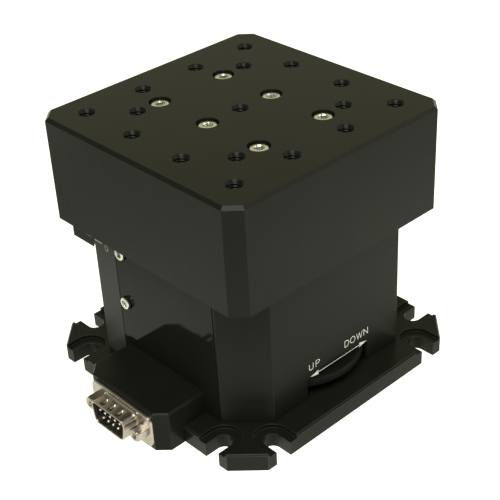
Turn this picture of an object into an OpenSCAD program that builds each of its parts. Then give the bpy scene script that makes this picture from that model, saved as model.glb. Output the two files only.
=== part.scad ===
// Motorised vertical stage with a hand thumbwheel. Millimetres, +Z up, origin at the
// centre of the base plate's underside, connector on the -Y face, thumbwheel on the +X face.

/* [Overall] */
// Height of the platform face above the bench, at the lowest position
stage_h = 101; // [100:0.5:115]
// Lift travel from the lowest position
travel = 25; // [10:1:25]

/* [Housing] */
// Side of the square housing
housing_w = 90; // [86:1:110]
// Corner cut of the housing, along each face
housing_chamfer = 13; // [11:0.5:15]
// Wall of the housing
housing_wall = 3.5; // [2.5:0.5:4]
// Gap between the housing's top edge and the platform plate
housing_top_gap = 1.5; // [1:0.5:3]
// Height of the tapped feet in the housing's corners
foot_h = 14; // [10:1:20]
// Thickness of the tapped feet, square to the corner cut
foot_t = 7; // [6:0.5:8]

/* [Platform] */
// Wall of the platform's skirt
skirt_wall = 4; // [2:0.5:6]
// Running gap between skirt and housing
skirt_gap = 1; // [0.5:0.1:2]
// Overall height of the platform cap
skirt_h = 40; // [30:0.2:45]
// Thickness of the platform plate
platform_t = 10; // [8:0.5:12]
// Corner cut of the platform
platform_chamfer = 5; // [3:0.5:7]
// Bevel round the platform face
platform_bevel = 1.2; // [0.4:0.1:2]
// Pitch of the threaded hole grid
hole_pitch = 25; // [23:0.5:27]
// Tapping diameter of the grid holes
hole_d = 5; // [4:0.1:6]
// Mouth diameter of the grid holes
hole_mouth_d = 6.4; // [6.2:0.1:7]
// Distance of each platform screw row from the middle
screw_row_y = 15; // [14:0.5:18]
// Thread diameter of the platform screws
screw_d = 4; // [3:0.5:5]
// Head diameter of the platform screws
screw_head_d = 7; // [6:0.5:8]
// Head height of the platform screws
screw_head_h = 4; // [3:0.5:5]
// Depth of the screw heads below the platform face
screw_sink = 0.75; // [0.2:0.05:1.5]
// Gap round a screw head in its counterbore
counterbore_gap = 0.5; // [0.2:0.1:1]

/* [Base plate] */
// Rim of the base plate beyond the housing
base_rim = 10.4; // [8:0.1:11]
// Thickness of the base plate
base_t = 7; // [6:0.5:10]
// Corner cut of the base plate
base_chamfer = 10; // [8:0.5:12]
// Bevel round the base plate's upper edge
base_bevel = 0.6; // [0.2:0.1:1.5]
// Distance between the slots of one side
slot_span = 76.2; // [72:0.1:78]
// Distance from a slot's round end to the plate's edge
slot_reach = 5.5; // [4:0.5:7]
// Width of a base slot
slot_w = 6.5; // [5:0.1:7]
// Width of a slot's counterbore, open to the plate's edge
slot_bore_d = 13.2; // [10:0.2:14]
// Depth of a slot's counterbore
slot_bore_h = 1.5; // [1:0.5:4.5]

/* [Thumbwheel] */
// Thickness of the thumbwheel's rim
wheel_t = 4; // [3:0.5:5]
// Height of the rim above the base plate
wheel_rise = 4; // [3.5:0.5:6]
// How far the rim stands out of the housing
wheel_proud = 3.4; // [2:0.2:5]
// Width of the opening in the housing
wheel_slot_w = 31; // [28:0.5:40]
// Gap above and around the rim in its opening
wheel_gap = 0.5; // [0.4:0.1:1]
// Width of the rim, inwards
wheel_rim_w = 5; // [3:0.5:8]
// Thickness of the web between hub and rim
wheel_web_t = 1.5; // [1:0.5:2.5]
// Diameter of the wheel's hub
hub_d = 14; // [12:1:16]

/* [Drive] */
// Diameter of the lead screw
lead_d = 8; // [7:0.5:10]
// Diameter of the screw's journal in its bearing
journal_d = 6; // [5.5:0.5:6.5]
// Diameter of the motor shaft
shaft_d = 5; // [4:0.5:5]
// Side of the motor
motor_w = 35.2; // [30:0.2:36]
// Gap between the motor and the housing's wall
motor_wall_gap = 0.5; // [0.5:0.1:2]
// Length of the motor
motor_len = 27; // [24:1:30]
// Length of each motor end cap
motor_cap_len = 7.5; // [6:0.5:8]
// Corner cut of the motor
motor_chamfer = 4; // [3:0.5:5]
// Diameter of the motor's pilot
pilot_d = 22; // [20:1:24]
// Height of the motor's pilot
pilot_h = 2; // [1.5:0.5:2.5]
// Distance between the motor's fixing screws
motor_bolt = 26; // [24:1:27]
// Diameter of the rotor
rotor_d = 20; // [16:0.5:22]
// Gap between rotor and stator
air_gap = 0.3; // [0.2:0.1:0.5]
// Thickness of the motor bracket's top plate
bracket_t = 8; // [7:0.5:9]
// Thickness of the motor bracket's legs
leg_t = 6; // [5:0.5:7]
// Length of the bracket's legs along X
leg_w = 20; // [16:1:24]
// Outer diameter of the screw bearing
bearing_d = 16; // [14:0.5:18]
// Width of the screw bearing
bearing_w = 5; // [4:0.5:5]
// Outer diameter of the lead nut
nut_d = 16; // [14:0.5:18]
// Diameter of the nut's flange
nut_flange_d = 28; // [26:0.5:32]
// Thickness of the nut's flange
nut_flange_t = 4; // [3:0.5:5]
// Circle of the nut's screws
nut_bolt_circle = 22; // [21:0.5:24]

/* [Guide] */
// Half width of the carriage's web
web_half = 10; // [8:0.5:11]
// Thickness of a rail, across
rail_t = 6; // [5:0.5:6.5]
// Width of a rail
rail_w = 12; // [11:0.5:13]
// Gap between a moving and a fixed rail
rail_gap = 0.8; // [0.7:0.1:1]
// Diameter of the guide rollers
roller_d = 3; // [2.5:0.1:3.2]
// Spacing of the guide rollers
roller_pitch = 5; // [4.5:0.5:8]
// Thickness of a roller cage
cage_t = 0.4; // [0.3:0.1:0.5]
// Width of a roller cage
cage_w = 8; // [7:0.5:9]
// Thickness of the guide frame's back plate
guide_back_t = 5; // [4:0.5:6]
// Thickness of the guide frame's side walls
guide_wall = 6; // [5:0.5:6.5]
// Thickness of the lips that carry the rails
lip_t = 6; // [5:0.5:7]
// Thickness of the carriage's top flange
flange_t = 10; // [8:0.5:12]
// Half length of the carriage's top flange
flange_half_x = 33; // [30:0.5:35]
// Half width of the carriage's top flange
flange_half_y = 34; // [33:0.5:35]

/* [Connector box] */
// Place of the box along X
box_x = 3.1; // [0:0.1:8]
// Width of the box
box_w = 41.4; // [38:0.1:46]
// How far the box stands out of the housing
box_out = 20.5; // [20:0.1:24]
// Height of the box's top face
box_top = 16.2; // [15.8:0.1:20]
// Height of the box's underside, beyond the base plate
box_under = 0; // [0:0.1:0.6]
// Wall of the box
box_wall = 2.5; // [1.5:0.5:3]
// Corner cut of the box
box_chamfer = 4; // [2:0.5:6]
// Bevel round the box's upper edge
box_bevel = 0.6; // [0.2:0.1:1]
// Height of the connector's middle
plug_z = 7.7; // [7.5:0.1:8.2]
// Width of the connector's flange
flange_w = 32.8; // [30:0.1:33]
// Height of the connector's flange
flange_h = 13; // [12:0.1:13]
// Thickness of the connector's flange
plug_flange_t = 1.1; // [0.8:0.1:1.5]
// Width of the connector's shell, along the long row
shell_w = 18.3; // [17:0.1:18.4]
// Height of the connector's shell
shell_h = 9.2; // [8.6:0.1:9.4]
// How far the shell stands out of its flange
shell_out = 6; // [5:0.1:7]
// Wall of the shell
shell_wall = 0.5; // [0.3:0.1:0.7]
// Diameter of a contact pin
pin_d = 1; // [0.8:0.1:1.2]
// Spacing of the pins in a row
pin_pitch = 2.76; // [2.5:0.01:2.8]
// Distance between the two rows of pins
pin_rows = 2.84; // [2.6:0.01:3]
// Distance between the jackscrews
jack_span = 24.99; // [24.5:0.01:25.5]
// Width of a jackscrew's hexagon, across flats
jack_flats = 4.8; // [4.5:0.1:5.2]
// Length of a jackscrew's hexagon
jack_len = 4.5; // [4:0.5:6]
// Thread diameter inside a jackscrew
jack_thread_d = 2.3; // [2:0.1:2.6]

/* [Front cover] */
// Left edge of the cover
cover_x0 = -20.4; // [-24:0.2:-18]
// Right edge of the cover
cover_x1 = 31.2; // [30:0.2:31.4]
// Thickness of the cover
cover_t = 2; // [1.5:0.1:2.2]
// Seam round the cover
cover_seam = 0.4; // [0.1:0.05:0.5]
// Distance of the cover's screws from its left edge
cover_screw_in = 4.4; // [4:0.1:8]
// Head diameter of the cover's screws
cover_head_d = 4.7; // [4:0.1:5]
// Depth of their heads in the cover
cover_screw_sink = 1.2; // [0.5:0.1:1.2]
// Height of the skirt's lower edge above the upper cover screw's head
cover_screw_drop = 2.5; // [0.5:0.1:4]
// Distance between the two cover screws
cover_screw_pitch = 21; // [16:0.5:22]

/* [Index block] */
// How far the index block hangs below the skirt
index_drop = 9.4; // [6:0.2:14]

/* [Hidden] */
$fn = 64;
eps = 0.01;
root2 = sqrt(2);

// Clearances shared by all fits
thread_gap = 0.05;
running_gap = 0.04;
seat_gap = 0.02;
slip_gap = 0.15;
inner_gap = 0.5;
end_gap = 1;
pass_gap = 1.5;
swing_gap = 2;

// How far a cut runs past the face it opens, and a tapped hole past its screw
cut = 1;
tap_end = 0.5;

// Small screws: thread, head diameter and head height
small_d = 3;
small_head_d = 5.5;
small_head_h = 3;
tiny_d = 2.5;
tiny_head_d = 4.5;
tiny_head_h = 2.5;
tiny_seat = 3;
flat_head_d = 6;
flat_sink = 0.3;
flat_cone_h = (flat_head_d - small_d) / 2;

// Hexagon sockets, as parts of the thread diameter and of the head height
socket_width = 0.95;
socket_floor = 0.45;
flat_socket_width = 0.66;
flat_socket_depth = 1.2;
set_socket_width = 0.55;

// How far screws reach into what they hold
thread_reach = 8;
box_screw_reach = 2.5;
cover_screw_reach = 5;
rail_screw_reach = 3.5;
motor_screw_reach = 4;
sensor_screw_reach = 4;
index_screw_reach = 5;
platform_screw_reach = 7;
nut_screw_reach = 5;
flag_screw_reach = 5;

// Anodised and bare finishes
black = [0.09, 0.09, 0.085];
steel = [0.75, 0.75, 0.73];
dull_steel = [0.55, 0.55, 0.56];
bronze = [0.72, 0.52, 0.24];
dark_plastic = [0.06, 0.07, 0.1];
raw_aluminium = [0.7, 0.71, 0.72];

// Plan sizes that follow from the housing
housing_half = housing_w / 2;
inner_half = housing_half - housing_wall;
housing_diag = (housing_w - housing_chamfer) / root2;
foot_diag = housing_diag - foot_t;
platform_half = housing_half + skirt_gap + skirt_wall;
base_half = housing_half + base_rim;

// Heights, from the base plate up and from the platform face down
wheel_z0 = base_t + wheel_rise;
wheel_z1 = wheel_z0 + wheel_t;
hub_z0 = base_t + end_gap;
hub_z1 = wheel_z1 + inner_gap;
motor_z0 = hub_z1 + swing_gap;
motor_z1 = motor_z0 + motor_len;
bracket_z1 = motor_z1 + bracket_t;
plate_z = stage_h - platform_t;
flange_z0 = plate_z - flange_t;
housing_z1 = plate_z - housing_top_gap;
guide_z1 = flange_z0 - end_gap;
skirt_z0 = stage_h - skirt_h;
screw_seat_z = stage_h - screw_sink - screw_head_h;
nut_z0 = bracket_z1 + pass_gap;
nut_pilot_h = 6;
lead_end_gap = 2.5;
lead_z1 = plate_z - lead_end_gap;

// Thumbwheel, motor and lead screw share one upright axis
wheel_x = inner_half - motor_wall_gap - motor_w / 2;
wheel_r = housing_half + wheel_proud - wheel_x;
wheel_edge = 0.4;
leg_y0 = wheel_r + pass_gap;
leg_back = 12;
leg_x0 = wheel_x - leg_back;
bearing_sink = 0.3;
bearing_bore_gap = 2;
head_sink = 0.5;
motor_bearing_d = 11;
motor_bearing_w = 4;
motor_bearing_gap = 0.2;
shoulder_gap = 0.1;
set_screw_d = 2.5;
set_screw_z = (hub_z0 + wheel_z0) / 2 + 0.4;
set_screw_socket = 1.5;

// Guide: back plate, carriage and rails, from the housing's -X wall inwards
guide_x0 = -inner_half + pass_gap;
web_x0 = guide_x0 + guide_back_t + pass_gap;
web_back_t = 6;
rail_x0 = web_x0 + web_back_t;
rail_x1 = rail_x0 + rail_w;
rail_x = rail_x0 + rail_w / 2;
lip_x1 = rail_x1 + lip_t;
moving_y1 = web_half + rail_t;
fixed_y0 = moving_y1 + rail_gap;
fixed_y1 = fixed_y0 + rail_t;
guide_y1 = fixed_y1 + guide_wall;
cage_y = (moving_y1 + fixed_y0) / 2;
groove_half = roller_d / root2 + running_gap;
rail_drop = 4;
rail_rise = 12;
moving_z0 = wheel_z1 + swing_gap;
moving_z1 = flange_z0 - rail_drop;
fixed_z0 = base_t + rail_rise;
fixed_z1 = guide_z1 - end_gap;
cage_z0 = max(fixed_z0, moving_z0 + travel / 2) + inner_gap;
cage_z1 = min(moving_z1, fixed_z1 - travel / 2) - inner_gap;
roller_count = floor((cage_z1 - cage_z0 - roller_d) / roller_pitch) + 1;
roller_z0 = (cage_z0 + cage_z1 - (roller_count - 1) * roller_pitch) / 2;
rail_screw_in = 10;
fixed_screw_y = (fixed_y0 + fixed_y1) / 2;
moving_screw_y = (web_half + moving_y1) / 2;
fixed_screw_z = [fixed_z0 + rail_screw_in, fixed_z1 - rail_screw_in];
moving_screw_z = [moving_z0 + rail_screw_in, moving_z1 - rail_screw_in];

// Limit sensors and the flag that passes through them
flag_x = rail_x;
flag_t = 1;
fork_gap = 4;
fork_arm = 3;
fork_wall_gap = 3.7;
fork_reach = inner_half - guide_y1 - fork_wall_gap;
fork_back = fork_reach / 3;
fork_h = 8;
flag_head_h = 8;
fork_y1 = guide_y1 + fork_reach;
flag_y0 = guide_y1 + fork_back + end_gap;
flag_y1 = fork_y1 - inner_gap;
flag_neck_w = 2;
flag_tab_t = 1.5;
flag_tab_half = 7;
flag_screw_in = 2.5;
flag_screw_x = 4;
flag_screw_y = flange_half_y - flag_screw_in;
sensor_rise = 28;
sensor_low_z = base_t + sensor_rise;
sensor_z = [sensor_low_z, sensor_low_z + travel];
sensor_foot_w = 5.5;
sensor_screw_x = fork_gap / 2 + fork_arm + sensor_foot_w / 2;

// Connector box and its connector
box_y0 = -housing_half - box_out;
box_x0 = box_x - box_w / 2;
box_x1 = box_x + box_w / 2;
box_floor_t = 2;
box_pad_z = base_t + 3;
box_screw_y = -housing_half - base_rim / 2;
box_screw_x = 14;
cable_w = 20;
cable_h = 3.5;
flange_y = box_y0 - plug_flange_t;
flange_corner_r = 2.5;
shell_tip_y = flange_y - shell_out;
shell_slant = 10;
shell_corner_r = 2;
arc_steps = 5;
insulator_sink = 0.2;
insulator_len = 6;
insulator_gap = 0.1;
insulator_face_y = flange_y + insulator_sink;
insulator_back_y = box_y0 + insulator_len;
pin_sink = 0.8;
pin_tail = 1;
pin_tip_y = shell_tip_y + pin_sink;
pin_back_y = insulator_back_y + pin_tail;
jack_stud_d = 2.8;
jack_floor = 0.5;
jack_hex_d = jack_flats / cos(30);
jack_nose_d = jack_flats - 0.4;

// Front cover
cover_y = -housing_half;
cover_screw_d = 2.8;
cover_head_h = 2.8;
cover_head_gap = 0.3;
cover_screw_x = cover_x0 + cover_screw_in;
cover_screw_high = skirt_z0 - cover_screw_drop - cover_head_d / 2;
cover_screw_low = cover_screw_high - cover_screw_pitch;
cover_rib_t = 4;
cover_rib_w = 8;
cover_rib_reach = 6;
cover_hole_len = 12;
flush_screw_x = cover_x1 - 5;
flush_screw_z = housing_z1 - 9;
window_x0 = cover_screw_x + cover_rib_w / 2 + end_gap;
window_x1 = flush_screw_x - cover_rib_w / 2 - end_gap;
window_z0 = box_top + 3;
window_z1 = housing_z1 - 6;

// Index block, clear of the housing's cut corner
index_gap = 0.6;
index_leg = 2 * housing_half - (housing_diag + index_gap) * root2;
index_screw_at = housing_half - index_leg * 0.32;

// Positions of the threaded holes in the platform face
ring = [for (k = [-1.5, -0.5, 0.5, 1.5]) k * hole_pitch];
ring_holes = [for (x = ring) for (y = ring) if (max(abs(x), abs(y)) > hole_pitch) [x, y]];
square_holes = [for (sx = [-1, 1]) for (sy = [-1, 1]) [sx * hole_pitch, sy * hole_pitch]];
grid_holes = concat(ring_holes, square_holes, [[0, 0]]);

// Positions of the screws
platform_screw_at = [for (k = [-1, 0, 1]) for (s = [-1, 1]) [k * hole_pitch, s * screw_row_y]];
foot_screw_diag = housing_diag - foot_t / 2;
housing_screw_at = [for (sx = [-1, 1]) for (sy = [-1, 1]) [sx, sy] * foot_screw_diag / root2];
guide_screw_x = [web_x0 + 3, lip_x1 - 5];
guide_screw_y = fixed_y1 + guide_wall / 2;
guide_screw_at = [for (x = guide_screw_x) for (s = [-1, 1]) [x, s * guide_screw_y]];
leg_screw_in = 4;
leg_screw_x = [leg_x0 + leg_screw_in, leg_x0 + leg_w - leg_screw_in];
leg_screw_at = [for (x = leg_screw_x) for (s = [-1, 1]) [x, s * (leg_y0 + leg_t / 2)]];
box_screw_at = [for (s = [-1, 1]) [box_x + s * box_screw_x, box_screw_y]];
base_screw_at = concat(housing_screw_at, guide_screw_at, leg_screw_at, box_screw_at);
motor_screw_at = [for (sx = [-1, 1]) for (sy = [-1, 1]) [sx, sy] * motor_bolt / 2];
nut_screw_at = [for (a = [45:90:315]) [wheel_x, 0] + nut_bolt_circle / 2 * [cos(a), sin(a)]];
flag_screw_at = [for (s = [-1, 1]) [flag_x + s * flag_screw_x, flag_screw_y]];

// Places of the nine pins in the connector's plan
pin_at = concat(
  [for (k = [-2:2]) [k * pin_pitch, pin_rows / 2]],
  [for (k = [-1.5, -0.5, 0.5, 1.5]) [k * pin_pitch, -pin_rows / 2]]);

// Square of half side a whose corners are cut at distance d from the middle
module octagon(a, d) {
  intersection() {
    square(2 * a, center = true);
    rotate(45) square(2 * d, center = true);
  }
}

// Square of side w with each corner cut by c
function corner_diag(w, c) = (w - c) / root2;

// Wedges that bevel the upper edge of an octagon by c
module bevel_wedges(a, d, z, c) {
  for (i = [0:3]) {
    rotate(90 * i) translate([a, 0, z]) rotate([0, 45, 0])
      cube([c * root2, 3 * a, c * root2], center = true);
    rotate(45 + 90 * i) translate([d, 0, z]) rotate([0, 45, 0])
      cube([c * root2, 3 * a, c * root2], center = true);
  }
}

// Cylinder standing on z0 and reaching z1
module post(d, z0, z1) {
  translate([0, 0, z0]) cylinder(d = d, h = z1 - z0);
}

// Cube between two corners
module block(low, high) {
  translate(low) cube(high - low);
}

// Socket-head screw, head seat at the origin, thread along -Z
module cap_screw(d, head_d, head_h, length) {
  difference() {
    union() {
      post(head_d, 0, head_h);
      post(d, -length, eps);
    }
    translate([0, 0, head_h * socket_floor]) cylinder(d = d * socket_width, h = head_h, $fn = 6);
  }
}

// Countersunk screw, head face at the origin, thread along +Z
module flat_screw(length) {
  difference() {
    union() {
      cylinder(d1 = flat_head_d, d2 = small_d, h = flat_cone_h);
      post(small_d, 0, length);
    }
    translate([0, 0, -eps]) cylinder(d = small_d * flat_socket_width, h = flat_socket_depth, $fn = 6);
  }
}

// Countersunk hole for flat_screw, opening at the origin
module flat_hole(depth) {
  grow = flat_head_d + 2 * slip_gap;
  translate([0, 0, -cut]) cylinder(d = grow, h = cut + flat_sink);
  translate([0, 0, flat_sink]) cylinder(d1 = grow, d2 = small_d + 2 * slip_gap, h = flat_cone_h);
  post(small_d + 2 * slip_gap, 0, depth);
}

module flat_screws(at) {
  for (p = at) translate([p[0], p[1], flat_sink]) flat_screw(base_t + thread_reach);
}

// Tapped holes for the screws that come up through the base plate
module base_taps(at) {
  for (p = at) translate([p[0], p[1], base_t - eps])
    cylinder(d = small_d + 2 * thread_gap, h = thread_reach + tap_end);
}

// Slot in the base plate, round end at the origin, open towards +Y
module base_slot() {
  floor_z = base_t - slot_bore_h;
  edge_y = slot_reach + cut;
  post(slot_w, -cut, base_t + cut);
  block([-slot_w / 2, 0, -cut], [slot_w / 2, edge_y, base_t + cut]);
  post(slot_bore_d, floor_z, base_t + cut);
  block([-slot_bore_d / 2, 0, floor_z], [slot_bore_d / 2, edge_y, base_t + cut]);
}

module base_plate() {
  base_diag = corner_diag(2 * base_half, base_chamfer);
  color(black) difference() {
    linear_extrude(base_t) octagon(base_half, base_diag);
    bevel_wedges(base_half, base_diag, base_t, base_bevel);
    for (i = [0:3]) for (s = [-1, 1])
      rotate(90 * i) translate([s * slot_span / 2, base_half - slot_reach, 0]) base_slot();
    for (p = base_screw_at) translate([p[0], p[1], 0]) flat_hole(base_t + cut);
  }
}

// Space that the housing leaves free for what stands inside it
module housing_room(z0, z1) {
  translate([0, 0, z0]) linear_extrude(z1 - z0)
    octagon(inner_half - inner_gap, foot_diag - inner_gap);
}

// Rib behind a cover screw
module cover_rib(x, z0, z1) {
  half = cover_rib_w / 2;
  block([x - half, -inner_half - eps, z0], [x + half, -inner_half + cover_rib_t, z1]);
}

module housing() {
  color(black) difference() {
    union() {
      difference() {
        translate([0, 0, base_t]) linear_extrude(housing_z1 - base_t)
          octagon(housing_half, housing_diag);
        translate([0, 0, base_t - cut]) linear_extrude(housing_z1) octagon(inner_half, foot_diag);
        translate([0, 0, base_t + foot_h]) linear_extrude(housing_z1)
          octagon(inner_half, housing_diag - housing_wall);
      }
      cover_rib(cover_screw_x, cover_screw_low - cover_rib_reach, cover_screw_high + cover_rib_reach);
      cover_rib(flush_screw_x, flush_screw_z - cover_rib_reach, flush_screw_z + cover_rib_reach);
    }
    wheel_opening();
    base_taps(housing_screw_at);
    block([cover_x0, cover_y - cut, base_t - cut], [cover_x1, cover_y + cover_t, housing_z1 + cut]);
    block([window_x0, cover_y, window_z0], [window_x1, -inner_half + cut, window_z1]);
    cable_hole();
    cover_screw_holes(thread_gap);
  }
}

// Opening for the thumbwheel, with room for its rim behind the wall
module wheel_opening() {
  top = wheel_z1 + wheel_gap;
  half = wheel_slot_w / 2;
  block([inner_half - cut, -half, base_t - cut], [housing_half + cut, half, top]);
  translate([wheel_x, 0, 0]) post(2 * (wheel_r + wheel_gap), base_t - cut, top);
}

// Way for the leads between the connector box and the inside
module cable_hole() {
  half = cable_w / 2;
  block([box_x - half, cover_y - cut, box_pad_z],
        [box_x + half, -inner_half + cut, box_pad_z + cable_h]);
}

// Holes for the cover screws, wider than their threads by gap all round
module cover_screw_holes(gap) {
  for (z = [cover_screw_low, cover_screw_high])
    translate([cover_screw_x, cover_y - cut, z]) rotate([-90, 0, 0])
      cylinder(d = cover_screw_d + 2 * gap, h = cover_hole_len);
  translate([flush_screw_x, cover_y - cut, flush_screw_z]) rotate([-90, 0, 0])
    cylinder(d = small_d + 2 * gap, h = cover_hole_len);
}

module front_cover() {
  color(black) difference() {
    block([cover_x0 + cover_seam, cover_y, base_t],
          [cover_x1 - cover_seam, cover_y + cover_t, housing_z1]);
    cover_screw_holes(slip_gap);
    for (z = [cover_screw_low, cover_screw_high])
      translate([cover_screw_x, cover_y - cut, z]) rotate([-90, 0, 0])
        cylinder(d = cover_head_d + 2 * cover_head_gap, h = cut + cover_screw_sink);
    translate([flush_screw_x, cover_y, flush_screw_z]) rotate([-90, 0, 0]) flat_hole(cover_t + cut);
    cable_hole();
  }
}

module cover_screws() {
  length = cover_t + cover_screw_reach;
  color(steel) for (z = [cover_screw_low, cover_screw_high])
    translate([cover_screw_x, cover_y + cover_screw_sink, z]) rotate([90, 0, 0])
      cap_screw(cover_screw_d, cover_head_d, cover_head_h, length - cover_screw_sink);
  color(steel) translate([flush_screw_x, cover_y + flat_sink, flush_screw_z]) rotate([-90, 0, 0])
    flat_screw(length);
}

module housing_screws() {
  color(dull_steel) flat_screws(housing_screw_at);
}

// Outline of the box in plan, front corners cut
module box_outline() {
  polygon([
    [box_x0, -housing_half], [box_x0, box_y0 + box_chamfer], [box_x0 + box_chamfer, box_y0],
    [box_x1 - box_chamfer, box_y0], [box_x1, box_y0 + box_chamfer], [box_x1, -housing_half]]);
}

module connector_box() {
  edge_y = -base_half - slip_gap;
  back_y = -base_half - box_floor_t;
  corner_turn = 45;
  corner_x = [box_x0 + box_chamfer / 2, box_x1 - box_chamfer / 2];
  color(black) difference() {
    translate([0, 0, box_under]) linear_extrude(box_top - box_under) box_outline();
    block([box_x0 - cut, edge_y, box_under - cut], [box_x1 + cut, -housing_half + cut, base_t]);
    translate([box_x, box_y0, box_top]) rotate([45, 0, 0])
      cube([2 * box_w, box_bevel * root2, box_bevel * root2], center = true);
    for (x = [box_x0, box_x1]) translate([x, -housing_half - box_out / 2, box_top]) rotate([0, 45, 0])
      cube([box_bevel * root2, 2 * box_out, box_bevel * root2], center = true);
    for (i = [0, 1]) translate([corner_x[i], box_y0 + box_chamfer / 2, box_top])
      rotate([0, 0, i == 0 ? -corner_turn : corner_turn]) rotate([45, 0, 0])
        cube([4 * box_chamfer, box_bevel * root2, box_bevel * root2], center = true);
    block([box_x0 + box_wall, box_y0 + box_wall, box_under + box_floor_t],
          [box_x1 - box_wall, back_y, box_top - box_wall]);
    block([box_x0 + box_wall, back_y - eps, box_pad_z],
          [box_x1 - box_wall, -housing_half + cut, box_top - box_wall]);
    plug_extrude(box_y0 - cut, box_y0 + box_wall + cut) shell_outline(slip_gap);
    for (s = [-1, 1]) plug_extrude(box_y0 - cut, box_y0 + box_wall + cut)
      translate([s * jack_span / 2, 0]) circle(d = jack_stud_d + 2 * thread_gap);
    for (p = box_screw_at) translate([p[0], p[1], 0])
      post(small_d + 2 * thread_gap, base_t - cut, box_pad_z + cut);
  }
}

module box_screws() {
  color(dull_steel) for (p = box_screw_at) translate([p[0], p[1], flat_sink])
    flat_screw(base_t + box_screw_reach);
}

// Points on a corner arc of radius r about c, from angle a0 to a1
function corner_arc(c, r, a0, a1) = [
  for (k = [0:arc_steps]) let (a = a0 + (a1 - a0) * k / arc_steps) c + r * [cos(a), sin(a)]];

// D outline of the connector, wide row up, grown by g
module shell_outline(g) {
  half_h = shell_h / 2 + g;
  r = shell_corner_r;
  top_c = shell_w / 2 + g - r;
  low_c = top_c - (2 * half_h - 2 * r) * tan(shell_slant);
  polygon(concat(
    corner_arc([top_c, half_h - r], r, -shell_slant, 90),
    corner_arc([-top_c, half_h - r], r, 90, 180 + shell_slant),
    corner_arc([-low_c, r - half_h], r, 180 + shell_slant, 270),
    corner_arc([low_c, r - half_h], r, 270, 360 - shell_slant)));
}

// Flange outline with round corners
module flange_outline() {
  r = flange_corner_r;
  x = flange_w / 2 - r;
  y = flange_h / 2 - r;
  polygon(concat(corner_arc([x, y], r, 0, 90), corner_arc([-x, y], r, 90, 180),
                 corner_arc([-x, -y], r, 180, 270), corner_arc([x, -y], r, 270, 360)));
}

// Extrusion from y0 towards -Y, drawn in the connector's own plan
module plug_extrude(y0, y1) {
  translate([box_x, y1, plug_z]) rotate([90, 0, 0]) linear_extrude(y1 - y0) children();
}

module connector_shell() {
  color(steel) difference() {
    union() {
      plug_extrude(flange_y, box_y0) flange_outline();
      plug_extrude(shell_tip_y, flange_y + eps) shell_outline(0);
    }
    plug_extrude(shell_tip_y - cut, box_y0 + cut) shell_outline(-shell_wall);
    for (s = [-1, 1]) plug_extrude(flange_y - cut, box_y0 + cut)
      translate([s * jack_span / 2, 0]) circle(d = jack_stud_d + 2 * slip_gap);
  }
}

module connector_insulator() {
  color(dark_plastic) difference() {
    plug_extrude(insulator_face_y, insulator_back_y) shell_outline(-shell_wall - insulator_gap);
    for (p = pin_at) plug_extrude(insulator_face_y - cut, insulator_back_y + cut)
      translate(p) circle(d = pin_d + 2 * seat_gap);
  }
}

module connector_pins() {
  color(bronze) for (p = pin_at) plug_extrude(pin_tip_y, pin_back_y) translate(p) circle(d = pin_d);
}

module connector_jackscrews() {
  color(steel) for (s = [-1, 1]) translate([box_x + s * jack_span / 2, flange_y, plug_z])
    rotate([90, 0, 0]) difference() {
      union() {
        intersection() {
          cylinder(d = jack_hex_d, h = jack_len, $fn = 6);
          cylinder(d1 = jack_nose_d + 2 * jack_len, d2 = jack_nose_d, h = jack_len);
        }
        post(jack_stud_d, -plug_flange_t - box_wall, eps);
      }
      post(jack_thread_d, jack_floor, jack_len + cut);
    }
}

module guide_frame() {
  color(raw_aluminium) intersection() {
    housing_room(base_t, guide_z1);
    difference() {
      union() {
        block([guide_x0, -guide_y1, base_t], [guide_x0 + guide_back_t, guide_y1, guide_z1]);
        for (s = [-1, 1]) mirror([0, s < 0 ? 1 : 0, 0]) {
          block([guide_x0, fixed_y1, base_t], [lip_x1, guide_y1, guide_z1]);
          block([rail_x1, fixed_y0, base_t], [lip_x1, fixed_y1 + eps, guide_z1]);
        }
      }
      base_taps(guide_screw_at);
      for (s = [-1, 1]) for (z = fixed_screw_z) translate([lip_x1, s * fixed_screw_y, z])
        rotate([0, 90, 0]) screw_pocket(lip_t);
      sensor_taps();
    }
  }
}

// Counterbore and clearance hole for a tiny screw, face at the origin
module screw_pocket(depth) {
  post(tiny_head_d + 2 * slip_gap, -tiny_seat, cut);
  post(tiny_d + 2 * slip_gap, -depth - cut, 0);
}

module guide_screws() {
  color(dull_steel) flat_screws(guide_screw_at);
}

// Rail with a roller groove; s is its side, y0 and y1 its faces, z0 and z1 its ends
module rail(s, y0, y1, z0, z1) {
  mirror([0, s < 0 ? 1 : 0, 0]) difference() {
    block([rail_x0, y0, z0], [rail_x1, y1, z1]);
    translate([rail_x, cage_y, z0 - cut]) rotate(45)
      linear_extrude(z1 - z0 + 2 * cut) square(groove_half * root2, center = true);
  }
}

module fixed_rail(s) {
  color(dull_steel) difference() {
    rail(s, fixed_y0, fixed_y1, fixed_z0, fixed_z1);
    for (z = fixed_screw_z) translate([rail_x1, s * fixed_screw_y, z]) rotate([0, 90, 0])
      post(tiny_d + 2 * thread_gap, -rail_screw_reach - tap_end, cut);
  }
}

module moving_rail(s) {
  color(dull_steel) difference() {
    rail(s, web_half, moving_y1, moving_z0, moving_z1);
    for (z = moving_screw_z) translate([rail_x0, s * moving_screw_y, z]) rotate([0, -90, 0])
      post(tiny_d + 2 * thread_gap, -rail_screw_reach - tap_end, cut);
  }
}

module fixed_rail_front() {
  fixed_rail(-1);
}

module fixed_rail_rear() {
  fixed_rail(1);
}

module moving_rail_front() {
  moving_rail(-1);
}

module moving_rail_rear() {
  moving_rail(1);
}

module fixed_rail_screws() {
  color(steel) for (s = [-1, 1]) for (z = fixed_screw_z)
    translate([lip_x1 - tiny_seat, s * fixed_screw_y, z]) rotate([0, 90, 0])
      cap_screw(tiny_d, tiny_head_d, tiny_head_h, lip_t - tiny_seat + rail_screw_reach);
}

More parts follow.
